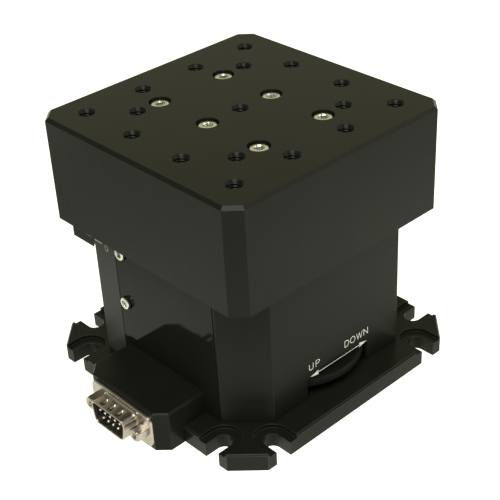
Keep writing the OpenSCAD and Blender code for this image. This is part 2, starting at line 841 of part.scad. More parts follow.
module moving_rail_screws() {
  color(steel) for (s = [-1, 1]) for (z = moving_screw_z)
    translate([web_x0 + tiny_seat, s * moving_screw_y, z]) rotate([0, -90, 0])
      cap_screw(tiny_d, tiny_head_d, tiny_head_h, web_back_t - tiny_seat + rail_screw_reach);
}

// Crossed rollers of one side, axes at 45 degrees in turn
module rollers(s) {
  middle_y = s * cage_y;
  color(steel) for (k = [0:roller_count - 1])
    translate([rail_x, middle_y, roller_z0 + k * roller_pitch])
      rotate([0, 0, k % 2 == 0 ? 45 : -45]) rotate([90, 0, 0])
        cylinder(d = roller_d, h = roller_d - running_gap, center = true);
}

module cage(s) {
  middle_y = s * cage_y;
  color(bronze) difference() {
    block([rail_x - cage_w / 2, middle_y - cage_t / 2, cage_z0],
          [rail_x + cage_w / 2, middle_y + cage_t / 2, cage_z1]);
    for (k = [0:roller_count - 1]) translate([rail_x, middle_y, roller_z0 + k * roller_pitch])
      cube([roller_d * root2 + 2 * slip_gap, cage_t + 2 * cut, roller_d + 2 * slip_gap], center = true);
  }
}

module front_cage() {
  cage(-1);
}

module rear_cage() {
  cage(1);
}

module front_rollers() {
  rollers(-1);
}

module rear_rollers() {
  rollers(1);
}

// Motor bracket: a plate over the motor on two legs that straddle the thumbwheel
module motor_bracket() {
  leg_y1 = leg_y0 + leg_t;
  plate_x0 = min(leg_x0, wheel_x - motor_w / 2);
  color(raw_aluminium) intersection() {
    housing_room(base_t, bracket_z1);
    difference() {
      union() {
        block([plate_x0, -leg_y1, motor_z1], [wheel_x + motor_w / 2, leg_y1, bracket_z1]);
        for (s = [-1, 1]) mirror([0, s < 0 ? 1 : 0, 0])
          block([leg_x0, leg_y0, base_t], [leg_x0 + leg_w, leg_y1, motor_z1 + eps]);
      }
      translate([wheel_x, 0, 0]) {
        post(pilot_d + 2 * slip_gap, motor_z1 - cut, motor_z1 + pilot_h + slip_gap);
        post(bearing_d + 2 * seat_gap, bracket_z1 - bearing_w - bearing_sink, bracket_z1 + cut);
        post(journal_d + 2 * bearing_bore_gap, motor_z1, bracket_z1 + cut);
        for (p = motor_screw_at) translate([p[0], p[1], 0]) {
          post(small_d + 2 * slip_gap, motor_z1 - cut, bracket_z1 + cut);
          post(small_head_d + 2 * slip_gap, bracket_z1 - small_head_h - head_sink, bracket_z1 + cut);
        }
      }
      base_taps(leg_screw_at);
    }
  }
}

module bracket_screws() {
  color(dull_steel) flat_screws(leg_screw_at);
}

// Square motor outline with cut corners, on the screw axis
module motor_outline() {
  octagon(motor_w / 2, corner_diag(motor_w, motor_chamfer));
}

module motor_front_cap() {
  z0 = motor_z1 - motor_cap_len;
  color(black) translate([wheel_x, 0, 0]) difference() {
    union() {
      translate([0, 0, z0]) linear_extrude(motor_cap_len) motor_outline();
      post(pilot_d, motor_z1 - eps, motor_z1 + pilot_h);
    }
    post(motor_bearing_d + 2 * seat_gap, z0 - cut, z0 + motor_bearing_w);
    post(shaft_d + 2 * end_gap, z0, motor_z1 + pilot_h + cut);
    for (p = motor_screw_at) translate([p[0], p[1], 0])
      post(small_d + 2 * thread_gap, motor_z1 - motor_screw_reach - tap_end, motor_z1 + cut);
  }
}

module motor_rear_cap() {
  z1 = motor_z0 + motor_cap_len;
  color(black) translate([wheel_x, 0, 0]) difference() {
    translate([0, 0, motor_z0]) linear_extrude(motor_cap_len) motor_outline();
    post(motor_bearing_d + 2 * seat_gap, z1 - motor_bearing_w, z1 + cut);
    post(shaft_d + 2 * end_gap, motor_z0 - cut, z1);
  }
}

module motor_stator() {
  z0 = motor_z0 + motor_cap_len;
  z1 = motor_z1 - motor_cap_len;
  color(dull_steel) translate([wheel_x, 0, 0]) difference() {
    translate([0, 0, z0]) linear_extrude(z1 - z0) motor_outline();
    post(rotor_d + 2 * air_gap, z0 - cut, z1 + cut);
  }
}

// Plain ring for a ball bearing
module bearing(outer_d, bore_d, z0, z1) {
  translate([wheel_x, 0, 0]) difference() {
    post(outer_d, z0, z1);
    post(bore_d + 2 * running_gap, z0 - cut, z1 + cut);
  }
}

module motor_bearings() {
  low = motor_z0 + motor_cap_len;
  high = motor_z1 - motor_cap_len;
  color(steel) bearing(motor_bearing_d, shaft_d, low - motor_bearing_w, low - motor_bearing_gap);
  color(steel) bearing(motor_bearing_d, shaft_d, high + motor_bearing_gap, high + motor_bearing_w);
}

module screw_bearing() {
  top_z = bracket_z1 - bearing_sink;
  color(steel) bearing(bearing_d, journal_d, top_z - bearing_w, top_z);
}

module motor_screws() {
  seat_z = bracket_z1 - small_head_h - head_sink;
  color(steel) for (p = motor_screw_at) translate([wheel_x + p[0], p[1], seat_z])
    cap_screw(small_d, small_head_d, small_head_h, seat_z - motor_z1 + motor_screw_reach);
}

module motor_rotor() {
  z0 = motor_z0 + motor_cap_len + inner_gap;
  z1 = motor_z1 - motor_cap_len - inner_gap;
  color(dull_steel) translate([wheel_x, 0, 0]) difference() {
    post(rotor_d, z0, z1);
    post(shaft_d + 2 * seat_gap, z0 - cut, z1 + cut);
  }
}

// Lead screw, journal and motor shaft turned from one bar
module lead_screw() {
  shoulder_z = bracket_z1 + shoulder_gap;
  color(steel) translate([wheel_x, 0, 0]) {
    post(shaft_d, hub_z0, motor_z1 + pilot_h);
    post(journal_d, motor_z1 + pilot_h - eps, shoulder_z + eps);
    post(lead_d, shoulder_z, lead_z1);
  }
}

module thumbwheel() {
  web_z = (wheel_z0 + wheel_z1 - wheel_web_t) / 2;
  edge = wheel_edge;
  color(black) translate([wheel_x, 0, 0]) difference() {
    union() {
      rotate_extrude() polygon([
        [wheel_r - wheel_rim_w, wheel_z0], [wheel_r - edge, wheel_z0], [wheel_r, wheel_z0 + edge],
        [wheel_r, wheel_z1 - edge], [wheel_r - edge, wheel_z1], [wheel_r - wheel_rim_w, wheel_z1]]);
      post(2 * (wheel_r - wheel_rim_w + eps), web_z, web_z + wheel_web_t);
      post(hub_d, hub_z0, hub_z1);
    }
    post(shaft_d + 2 * seat_gap, hub_z0 - cut, hub_z1 + cut);
    translate([0, 0, set_screw_z]) rotate([0, 90, 0])
      cylinder(d = set_screw_d + 2 * thread_gap, h = hub_d / 2 + cut);
  }
}

module wheel_set_screw() {
  start = shaft_d / 2 + thread_gap;
  length = hub_d / 2 - start - inner_gap;
  color(dull_steel) translate([wheel_x + start, 0, set_screw_z]) rotate([0, 90, 0]) difference() {
    cylinder(d = set_screw_d, h = length);
    translate([0, 0, length - set_screw_socket])
      cylinder(d = set_screw_d * set_socket_width, h = set_screw_socket + cut, $fn = 6);
  }
}

// Tapped holes in the guide frame for the sensor screws
module sensor_taps() {
  for (z = sensor_z) for (s = [-1, 1]) translate([flag_x + s * sensor_screw_x, guide_y1, z])
    rotate([90, 0, 0]) post(tiny_d + 2 * thread_gap, -cut, sensor_screw_reach + tap_end);
}

// Forked light sensors on the guide frame's side
module limit_sensors() {
  half = fork_gap / 2 + fork_arm;
  color(dark_plastic) for (z = sensor_z) difference() {
    union() {
      block([flag_x - half, guide_y1, z - fork_h / 2], [flag_x + half, fork_y1, z + fork_h / 2]);
      block([flag_x - half - sensor_foot_w, guide_y1, z - fork_h / 2],
            [flag_x + half + sensor_foot_w, guide_y1 + fork_back, z + fork_h / 2]);
    }
    block([flag_x - fork_gap / 2, guide_y1 + fork_back, z - fork_h],
          [flag_x + fork_gap / 2, fork_y1 + cut, z + fork_h]);
    for (s = [-1, 1]) translate([flag_x + s * sensor_screw_x, guide_y1, z]) rotate([-90, 0, 0])
      post(tiny_d + 2 * slip_gap, -cut, fork_back + cut);
  }
}

module sensor_screws() {
  color(steel) for (z = sensor_z) for (s = [-1, 1])
    translate([flag_x + s * sensor_screw_x, guide_y1 + fork_back, z]) rotate([-90, 0, 0])
      cap_screw(tiny_d, tiny_head_d, tiny_head_h, fork_back + sensor_screw_reach);
}

module platform_cap() {
  cap_diag = corner_diag(2 * platform_half, platform_chamfer);
  mouth_h = (hole_mouth_d - hole_d) / 2;
  color(black) difference() {
    translate([0, 0, skirt_z0]) linear_extrude(skirt_h) octagon(platform_half, cap_diag);
    translate([0, 0, skirt_z0 - cut]) linear_extrude(skirt_h - platform_t + cut)
      octagon(housing_half + skirt_gap, housing_diag + skirt_gap);
    bevel_wedges(platform_half, cap_diag, stage_h, platform_bevel);
    for (p = grid_holes) translate([p[0], p[1], 0]) {
      post(hole_d, plate_z - cut, stage_h + cut);
      translate([0, 0, stage_h - mouth_h])
        cylinder(d1 = hole_d, d2 = hole_mouth_d + 2 * eps, h = mouth_h + eps);
    }
    for (p = platform_screw_at) translate([p[0], p[1], 0]) {
      post(screw_d + 2 * slip_gap, plate_z - cut, stage_h + cut);
      post(screw_head_d + 2 * counterbore_gap, screw_seat_z, stage_h + cut);
    }
    translate([-index_screw_at, -index_screw_at, 0])
      post(tiny_d + 2 * thread_gap, skirt_z0 - cut, skirt_z0 + index_screw_reach + tap_end);
  }
}

module platform_screws() {
  color(steel) for (p = platform_screw_at) translate([p[0], p[1], screw_seat_z])
    cap_screw(screw_d, screw_head_d, screw_head_h, screw_seat_z - plate_z + platform_screw_reach);
}

module carriage() {
  color(raw_aluminium) difference() {
    union() {
      block([-flange_half_x, -flange_half_y, flange_z0], [flange_half_x, flange_half_y, plate_z]);
      block([web_x0, -web_half, moving_z0], [lip_x1, web_half, flange_z0 + eps]);
      block([web_x0, -moving_y1, moving_z0], [rail_x0, moving_y1, flange_z0 + eps]);
    }
    translate([wheel_x, 0, 0]) post(nut_d + 2 * seat_gap, flange_z0 - cut, plate_z + cut);
    for (p = platform_screw_at) translate([p[0], p[1], 0])
      post(screw_d + 2 * thread_gap, plate_z - platform_screw_reach - tap_end, plate_z + cut);
    for (p = nut_screw_at) translate([p[0], p[1], 0])
      post(tiny_d + 2 * thread_gap, flange_z0 - cut, flange_z0 + nut_screw_reach + tap_end);
    for (p = flag_screw_at) translate([p[0], p[1], 0])
      post(tiny_d + 2 * thread_gap, flange_z0 - cut, flange_z0 + flag_screw_reach + tap_end);
    for (s = [-1, 1]) for (z = moving_screw_z) translate([web_x0, s * moving_screw_y, z])
      rotate([0, -90, 0]) screw_pocket(web_back_t);
  }
}

module lead_nut() {
  color(bronze) difference() {
    translate([wheel_x, 0, 0]) {
      post(nut_d, nut_z0, flange_z0 + nut_pilot_h);
      post(nut_flange_d, flange_z0 - nut_flange_t, flange_z0);
    }
    translate([wheel_x, 0, 0]) post(lead_d + 2 * running_gap, nut_z0 - cut, plate_z);
    for (p = nut_screw_at) translate([p[0], p[1], 0])
      post(tiny_d + 2 * slip_gap, flange_z0 - nut_flange_t - cut, flange_z0 + cut);
  }
}

module nut_screws() {
  color(steel) for (p = nut_screw_at)
    translate([p[0], p[1], flange_z0 - nut_flange_t]) rotate([180, 0, 0])
      cap_screw(tiny_d, tiny_head_d, tiny_head_h, nut_flange_t + nut_screw_reach);
}

// Three-cornered index block under the platform's corner, beside the scale
module index_block() {
  z0 = skirt_z0 - index_drop;
  a = housing_half;
  color(black) difference() {
    translate([0, 0, z0]) linear_extrude(index_drop)
      polygon([[-a, -a], [index_leg - a, -a], [-a, index_leg - a]]);
    translate([-index_screw_at, -index_screw_at, 0]) {
      post(tiny_head_d + 2 * slip_gap, z0 - cut, z0 + tiny_seat);
      post(tiny_d + 2 * slip_gap, z0, skirt_z0 + cut);
    }
  }
}

module index_screw() {
  z0 = skirt_z0 - index_drop + tiny_seat;
  color(steel) translate([-index_screw_at, -index_screw_at, z0]) rotate([180, 0, 0])
    cap_screw(tiny_d, tiny_head_d, tiny_head_h, index_drop - tiny_seat + index_screw_reach);
}

module limit_flag() {
  head_z0 = sensor_low_z - flag_head_h / 2;
  tab_z0 = flange_z0 - flag_tab_t;
  x0 = flag_x - flag_t / 2;
  x1 = flag_x + flag_t / 2;
  color(raw_aluminium) difference() {
    union() {
      block([flag_x - flag_tab_half, flag_screw_y - flag_screw_in, tab_z0],
            [flag_x + flag_tab_half, max(flag_y1, flange_half_y), flange_z0]);
      block([x0, flag_y1 - flag_neck_w, head_z0], [x1, flag_y1, tab_z0 + eps]);
      block([x0, flag_y0, head_z0], [x1, flag_y1, head_z0 + flag_head_h]);
    }
    for (p = flag_screw_at) translate([p[0], p[1], 0])
      post(tiny_d + 2 * slip_gap, tab_z0 - cut, flange_z0 + cut);
  }
}

module flag_screws() {
  color(steel) for (p = flag_screw_at)
    translate([p[0], p[1], flange_z0 - flag_tab_t]) rotate([180, 0, 0])
      cap_screw(tiny_d, tiny_head_d, tiny_head_h, flag_tab_t + flag_screw_reach);
}

base_plate();
housing();
housing_screws();
front_cover();
cover_screws();
connector_box();
box_screws();
connector_shell();
connector_insulator();
connector_pins();
connector_jackscrews();
guide_frame();
guide_screws();
fixed_rail_front();
fixed_rail_rear();
fixed_rail_screws();
motor_bracket();
bracket_screws();
motor_front_cap();
motor_stator();
motor_rear_cap();
motor_bearings();
motor_screws();
screw_bearing();
limit_sensors();
sensor_screws();
platform_cap();
platform_screws();
carriage();
moving_rail_front();
moving_rail_rear();
moving_rail_screws();
lead_nut();
nut_screws();
index_block();
index_screw();
limit_flag();
flag_screws();
lead_screw();
thumbwheel();
wheel_set_screw();
motor_rotor();
front_cage();
rear_cage();
front_rollers();
rear_rollers();
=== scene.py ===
"""Looks of the vertical stage: finishes for its CAD parts, and the screws, connector, threads,
knurling and printed marks that are worked out here as surfaces.

Sizes are in millimetres in the part's frame: +Z up, connector towards -Y, thumbwheel towards +X.
"""

import logging
import math
from dataclasses import dataclass, field
from enum import Enum
from typing import Dict, List, Optional, Sequence, Tuple, Union

import bmesh
import bpy
import numpy as np
from mathutils import Matrix, Vector


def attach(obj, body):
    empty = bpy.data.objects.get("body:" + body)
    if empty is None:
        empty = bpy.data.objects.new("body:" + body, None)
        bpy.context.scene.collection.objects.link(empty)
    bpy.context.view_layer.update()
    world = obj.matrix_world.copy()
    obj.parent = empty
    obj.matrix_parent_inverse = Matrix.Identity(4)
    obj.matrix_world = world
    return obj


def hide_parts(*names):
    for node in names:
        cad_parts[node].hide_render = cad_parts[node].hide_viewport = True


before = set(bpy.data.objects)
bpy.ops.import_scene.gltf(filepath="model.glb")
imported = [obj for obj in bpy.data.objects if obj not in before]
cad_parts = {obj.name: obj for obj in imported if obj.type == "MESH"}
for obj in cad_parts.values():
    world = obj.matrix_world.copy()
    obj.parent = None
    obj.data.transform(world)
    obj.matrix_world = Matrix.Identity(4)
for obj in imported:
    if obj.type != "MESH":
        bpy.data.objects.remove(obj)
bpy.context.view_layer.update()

MM = 0.001
PER_METRE = 1000.0
SEAM_GAP = 1e-7
WELD_GAP = 1e-6
FLAT_ANGLE = math.radians(0.4)
BREAK_ANGLE = math.radians(30)
TURN = 2 * math.pi
THREAD_STEPS = 4
LOG = logging.getLogger("vertical_stage")

Rgb = Tuple[float, float, float]
Xyz = Tuple[float, float, float]
Pair = Tuple[float, float]
Number = Union["Value", float]
Inputs = Dict[Union[str, int], object]
Settings = Optional[Dict[str, Union[str, bool]]]
Row = Tuple[Union[float, np.ndarray], float]


class Body(Enum):
    """The moving bodies of the frame."""

    FRAME = "frame"
    LIFT = "lift"
    SPINDLE = "spindle"


class Slot(Enum):
    """Names of the record's material slots, passed along with the pieces made here."""

    BLACK = "black_anodised"
    SCREWS = "stainless_screws"
    GROUND = "ground_steel"
    NICKEL = "nickel"
    GILT = "gilt_pins"


class Axis(Enum):
    """Where the own axis of a turned form points."""

    UP = "+Z"
    FRONT = "-Y"
    BACK = "+Y"


@dataclass(frozen=True)
class Value:
    """A number inside a material's nodes; arithmetic on it adds Math nodes."""

    paint: "Paint"
    socket: bpy.types.NodeSocket

    def math(self, operation: str, *others: Number) -> "Value":
        """Result of a Math node on this value and others, in order."""
        inputs = dict(enumerate((self, *others)))
        return self.paint.value("ShaderNodeMath", inputs, {"operation": operation})

    def __add__(self, other: Number) -> "Value":
        """This value plus another."""
        return self.math("ADD", other)

    def __sub__(self, other: Number) -> "Value":
        """This value less another."""
        return self.math("SUBTRACT", other)

    def __mul__(self, other: Number) -> "Value":
        """This value times another."""
        return self.math("MULTIPLY", other)

    def __abs__(self) -> "Value":
        """This value without its sign."""
        return self.math("ABSOLUTE")

    def length(self, other: "Value") -> "Value":
        """Length of the vector with this value and another as its sides."""
        return (self * self + other * other).math("SQRT")

    def swing(self, by: float) -> "Value":
        """Swing of noise about its mean of one half, times a number."""
        return (self - 0.5) * by

    def below(self, limit: float) -> "Value":
        """One where this value is below a limit, else nought."""
        return self.math("LESS_THAN", limit)


class Paint:
    """The node tree of one material or of the world."""

    def __init__(self, owner: Union[bpy.types.Material, bpy.types.World]) -> None:
        """Starts with an empty tree.

        Args:
            owner: The material or world.
        """
        self.owner = owner
        owner.use_nodes = True
        self.tree = owner.node_tree
        self.tree.nodes.clear()

    def node(self, kind: str, inputs: Optional[Inputs] = None,
             settings: Settings = None) -> bpy.types.Node:
        """Adds one node.

        Args:
            kind: The node's type.
            inputs: Values or links for its inputs, by name or number.
            settings: Its own settings, set first.

        Returns:
            The new node.
        """
        made = self.tree.nodes.new(kind)
        for key, value in (settings or {}).items():
            setattr(made, key, value)
        for key, value in (inputs or {}).items():
            value = value.socket if isinstance(value, Value) else value
            if isinstance(value, bpy.types.NodeSocket):
                self.tree.links.new(value, made.inputs[key])
            else:
                made.inputs[key].default_value = value
        return made

    def value(self, kind: str, inputs: Inputs, settings: Settings = None) -> Value:
        """Adds one node and takes its first result as a number."""
        return Value(self, self.node(kind, inputs, settings).outputs[0])

    def place(self) -> bpy.types.NodeSocket:
        """The point's place in the part's frame, in metres."""
        return self.node("ShaderNodeTexCoord").outputs["Object"]

    def axes(self) -> Tuple[Value, Value, Value]:
        """The point's three coordinates in millimetres."""
        split = self.node("ShaderNodeSeparateXYZ", {0: self.place()})
        return tuple(Value(self, out) * PER_METRE for out in split.outputs)

    def noise(self, size: float, detail: float = 2.0, stretch: Optional[Xyz] = None) -> Value:
        """Even noise from nought to one.

        Args:
            size: Width of one spot in millimetres.
            detail: Octaves of finer noise in it.
            stretch: How many times finer it is along each axis, or None.

        Returns:
            The noise.
        """
        at = self.place()
        if stretch:
            at = self.node("ShaderNodeMapping", {"Vector": at, "Scale": stretch}).outputs[0]
        inputs = {"Vector": at, "Scale": PER_METRE / size, "Detail": detail}
        return self.value("ShaderNodeTexNoise", inputs)

    def spread(self, value: Value, low: float, high: float) -> Value:
        """Maps a value from low to high onto nought to one, and stops at both."""
        inputs = {"Value": value, "From Min": low, "From Max": high}
        return self.value("ShaderNodeMapRange", inputs, {"clamp": True})

    def blend(self, share: Number, first: object, second: object) -> bpy.types.NodeSocket:
        """Mixes two colours.

        Args:
            share: Share of the second colour.
            first: A colour or a colour socket.
            second: A colour or a colour socket.

        Returns:
            The mixed colour.
        """
        ends = [(*c, 1.0) if isinstance(c, tuple) else c for c in (first, second)]
        inputs = {0: share, 6: ends[0], 7: ends[1]}
        made = self.node("ShaderNodeMix", inputs, {"data_type": "RGBA"})
        return made.outputs[2]

    def relief(self, height: Value, depth: float, share: float) -> bpy.types.NodeSocket:
        """Normal bent by heights of nought to one, with their depth in millimetres and a share."""
        inputs = {"Height": height, "Distance": depth * MM, "Strength": share}
        return self.node("ShaderNodeBump", inputs).outputs[0]

    def surface(self, inputs: Dict[str, object]) -> None:
        """Ends the tree with a Principled shader that has these inputs."""
        shader = self.node("ShaderNodeBsdfPrincipled", inputs)
        self.node("ShaderNodeOutputMaterial", {0: shader.outputs[0]})


@dataclass(frozen=True)
class Finish:
    """A surface finish with a name of its own."""

    name: str
    colour: Rgb
    roughness: float

    def material(self) -> bpy.types.Material:
        """Makes the finish's material once, and finds it again after that.

        Returns:
            The material.
        """
        known = bpy.data.materials.get(self.name)
        if known:
            return known
        paint = Paint(bpy.data.materials.new(self.name))
        self.lay(paint)
        return paint.owner

    def lay(self, paint: Paint) -> None:
        """Builds the finish's nodes."""
        raise NotImplementedError

    def shade(self, by: float) -> Rgb:
        """The finish's colour times a number."""
        return tuple(c * by for c in self.colour)


@dataclass(frozen=True)
class Anodised(Finish):
    """Black dyed anodising over fine milling: an olive black with faint grain, cloud and dust."""

    specular: float = 0.072
    grain: float = 0.32
    grain_rough: float = 0.08
    milling: Optional[Xyz] = None
    milling_size: float = 1.0
    milling_share: float = 0.4
    cloud: float = 14.0
    cloud_tone: float = 0.18
    cloud_rough: float = 0.07
    dust: float = 1.1
    dust_range: Pair = (0.66, 0.78)
    dust_tone: float = 2.4
    dust_share: float = 0.35
    depth: float = 0.012
    depth_share: float = 0.3

    def relief_height(self, paint: Paint, grain: Value) -> Value:
        """Height of the surface: the grain, and the milling where there is some.

        Args:
            paint: The material's nodes.
            grain: The fine grain.

        Returns:
            The height.
        """
        if self.milling is None:
            return grain
        lines = paint.noise(self.milling_size, detail=3.0, stretch=self.milling)
        return grain * (1.0 - self.milling_share) + lines * self.milling_share

    def tone(self, paint: Paint, base: bpy.types.NodeSocket) -> bpy.types.NodeSocket:
        """The dye's colour, changed where a part of the piece has another."""
        return base

    def lay(self, paint: Paint) -> None:
        """Clouds the dye, roughens it with the grain, and bumps it.

        Args:
            paint: The material's nodes.
        """
        cloud = paint.noise(self.cloud, detail=4.0)
        grain = paint.noise(self.grain)
        dust = paint.spread(paint.noise(self.dust, detail=5.0), *self.dust_range)
        dark, light = self.shade(1.0 - self.cloud_tone), self.shade(1.0 + self.cloud_tone)
        base = paint.blend(cloud, dark, light)
        base = paint.blend(dust * self.dust_share, base, self.shade(self.dust_tone))
        rough = cloud.swing(self.cloud_rough) + grain.swing(self.grain_rough)
        paint.surface({
            "Base Color": self.tone(paint, base),
            "Roughness": rough + self.roughness,
            "Specular IOR Level": self.specular,
            "Normal": paint.relief(self.relief_height(paint, grain), self.depth, self.depth_share),
        })


@dataclass(frozen=True)
class StripedAnodised(Anodised):
    """The housing's anodising, paler on the strip beside the cover that carries the scale."""

    strip: Rgb = (0.031, 0.0312, 0.0298)
    strip_x: float = -20.2
    strip_y: float = -44.6

    def tone(self, paint: Paint, base: bpy.types.NodeSocket) -> bpy.types.NodeSocket:
        """Lays the strip's colour where the front face lies left of the cover."""
        x, y, _ = paint.axes()
        return paint.blend(x.below(self.strip_x) * y.below(self.strip_y), base, self.strip)


@dataclass(frozen=True)
class SlottedAnodised(Anodised):
    """The base plate's anodising, with the cutter's rings in its counterbores and slots."""

    slot_out: float = 49.9
    slot_along: float = 38.1
    slot_r: float = 3.6
    bore_r: float = 6.7
    bore_z: Pair = (0.5, 5.8)
    ring_pitch: float = 0.9
    grain_h: float = 0.5
    ring_h: float = 2.5
    wall_h: float = 12.0

    def relief_height(self, paint: Paint, grain: Value) -> Value:
        """Adds rings about each slot's middle line, found by folding the plate onto one slot.

        Args:
            paint: The material's nodes.
            grain: The fine grain.

        Returns:
            Waves of the distance from the line on the floors, and of the height on the walls.
        """
        x, y, z = paint.axes()
        out = abs(x).math("MAXIMUM", abs(y)) - self.slot_out
        along = abs(x).math("MINIMUM", abs(y)) - self.slot_along
        away = out.math("MINIMUM", 0.0).length(along)
        low, high = self.bore_z
        inside = z.below(high) * z.math("GREATER_THAN", low) * away.below(self.bore_r)
        wave = TURN / self.ring_pitch
        rings = (away * wave).math("SINE") * self.ring_h
        walls = away.below(self.slot_r) * (z * wave).math("SINE") * self.wall_h
        return grain * self.grain_h + inside * (rings + walls)


@dataclass(frozen=True)
class Metal(Finish):
    """Bare or plated metal with fine drawn or ground lines and faint cloud."""

    lines: Xyz = (1.0, 1.0, 1.0)
    line_size: float = 0.5
    line_tone: float = 0.8
    line_share: float = 0.25
    line_rough: float = 0.12
    cloud: float = 3.0
    cloud_rough: float = 0.08
    spot_range: Pair = (0.45, 0.75)
    spot_tone: float = 0.55
    tarnish: float = 0.25
    depth: float = 0.004
    depth_share: float = 0.5

    def lay(self, paint: Paint) -> None:
        """Draws the lines in roughness and relief, and clouds the colour.

        Args:
            paint: The material's nodes.
        """
        cloud = paint.noise(self.cloud, detail=4.0)
        drawn = paint.noise(self.line_size, detail=3.0, stretch=self.lines)
        spots = paint.spread(cloud, *self.spot_range) * self.tarnish
        base = paint.blend(spots, self.colour, self.shade(self.spot_tone))
        rough = drawn.swing(self.line_rough) + cloud.swing(self.cloud_rough)
        paint.surface({
            "Base Color": paint.blend(drawn * self.line_share, base, self.shade(self.line_tone)),
            "Metallic": 1.0,
            "Roughness": rough + self.roughness,
            "Normal": paint.relief(drawn, self.depth, self.depth_share),
        })


@dataclass(frozen=True)
class Coating(Finish):
    """Moulded plastic, paint or ink: a colour with fine pebble and mottling."""

    specular: float = 0.4
    cloud: float = 4.0
    mottle: float = 0.2
    pebble: float = 0.4
    pebble_rough: float = 0.1
    depth: float = 0.01
    depth_share: float = 0.4

    def lay(self, paint: Paint) -> None:
        """Mottles the colour and pebbles the surface.

        Args:
            paint: The material's nodes.
        """
        cloud = paint.noise(self.cloud, detail=3.0)
        pebble = paint.noise(self.pebble)
        base = paint.blend(cloud, self.shade(1.0 - self.mottle), self.shade(1.0 + self.mottle / 2))
        paint.surface({
            "Base Color": base,
            "Roughness": pebble.swing(self.pebble_rough) + self.roughness,
            "Specular IOR Level": self.specular,
            "Normal": paint.relief(pebble, self.depth, self.depth_share),
        })


OLIVE_BLACK = (0.0078, 0.0083, 0.006)
PLATFORM_BLACK = Anodised("anodised_platform", OLIVE_BLACK, 0.27)
HOUSING_BLACK = StripedAnodised("anodised_housing", OLIVE_BLACK, 0.34, milling=(0.3, 0.3, 6.0))
COVER_BLACK = Anodised("anodised_cover", OLIVE_BLACK, 0.06, specular=0.057,
                       milling=(6.0, 1.0, 0.15))
BASE_BLACK = SlottedAnodised("anodised_base", OLIVE_BLACK, 0.28)
BOX_BLACK = Anodised("anodised_box", OLIVE_BLACK, 0.28)
WHEEL_BLACK = Anodised("anodised_wheel", (0.005, 0.0052, 0.004), 0.45, specular=0.03)
RIM_BLACK = Anodised("anodised_rim", OLIVE_BLACK, 0.4, specular=0.06)
EDGE_BLACK = Anodised("anodised_edge", (0.012, 0.0125, 0.0095), 0.3, specular=0.11)
# Lighter broken edges for the base plate: partly wear, partly a painted highlight on the slot and
# counterbore rims.
WORN_AND_HIGHLIGHT_BLACK = Anodised("anodised_worn_and_highlight_edge", (0.035, 0.035, 0.031), 0.3, specular=0.14)
STAINLESS = Metal("stainless_steel", (0.64, 0.63, 0.58), 0.26, lines=(1.0, 1.0, 0.4))
DARK_STEEL = Metal("blackened_steel", (0.09, 0.088, 0.085), 0.36, tarnish=0.4)
GROUND_STEEL = Metal("ground_steel", (0.56, 0.56, 0.55), 0.2, lines=(6.0, 6.0, 0.15),
                     line_size=1.0)
NICKEL = Metal("nickel_plate", (0.42, 0.38, 0.33), 0.3, lines=(0.5, 3.0, 0.5),
               line_size=0.8, tarnish=0.5)
GILT = Metal("gilt_contact", (0.72, 0.67, 0.54), 0.26, tarnish=0.1)
BRONZE = Metal("bronze", (0.58, 0.36, 0.14), 0.34, lines=(1.0, 1.0, 5.0))
ALUMINIUM = Metal("milled_aluminium", (0.66, 0.67, 0.67), 0.34, lines=(0.3, 0.3, 5.0),
                  line_size=1.2)
LAMINATED = Metal("laminated_steel", (0.34, 0.34, 0.35), 0.4, lines=(0.1, 0.1, 4.0),
                  line_size=2.0)
PLASTIC = Coating("connector_moulding", (0.032, 0.072, 0.19), 0.36, specular=0.08)
MOTOR_PAINT = Coating("motor_paint", (0.016, 0.016, 0.016), 0.42, pebble=0.6, depth=0.02)
INK = Coating("white_ink", (0.7, 0.7, 0.65), 0.55, pebble=0.15, depth=0.006, mottle=0.12)
SCALE_INK = Coating("grey_ink", (0.34, 0.34, 0.31), 0.55, pebble=0.15, depth=0.006, mottle=0.12)


def show(name: str, data: bpy.types.ID) -> bpy.types.Object:
    """Puts a new object into the scene.

    Args:
        name: The object's name.
        data: Its mesh, light or camera.

    Returns:
        The object.
    """
    made = bpy.data.objects.new(name, data)
    bpy.context.scene.collection.objects.link(made)
    return made


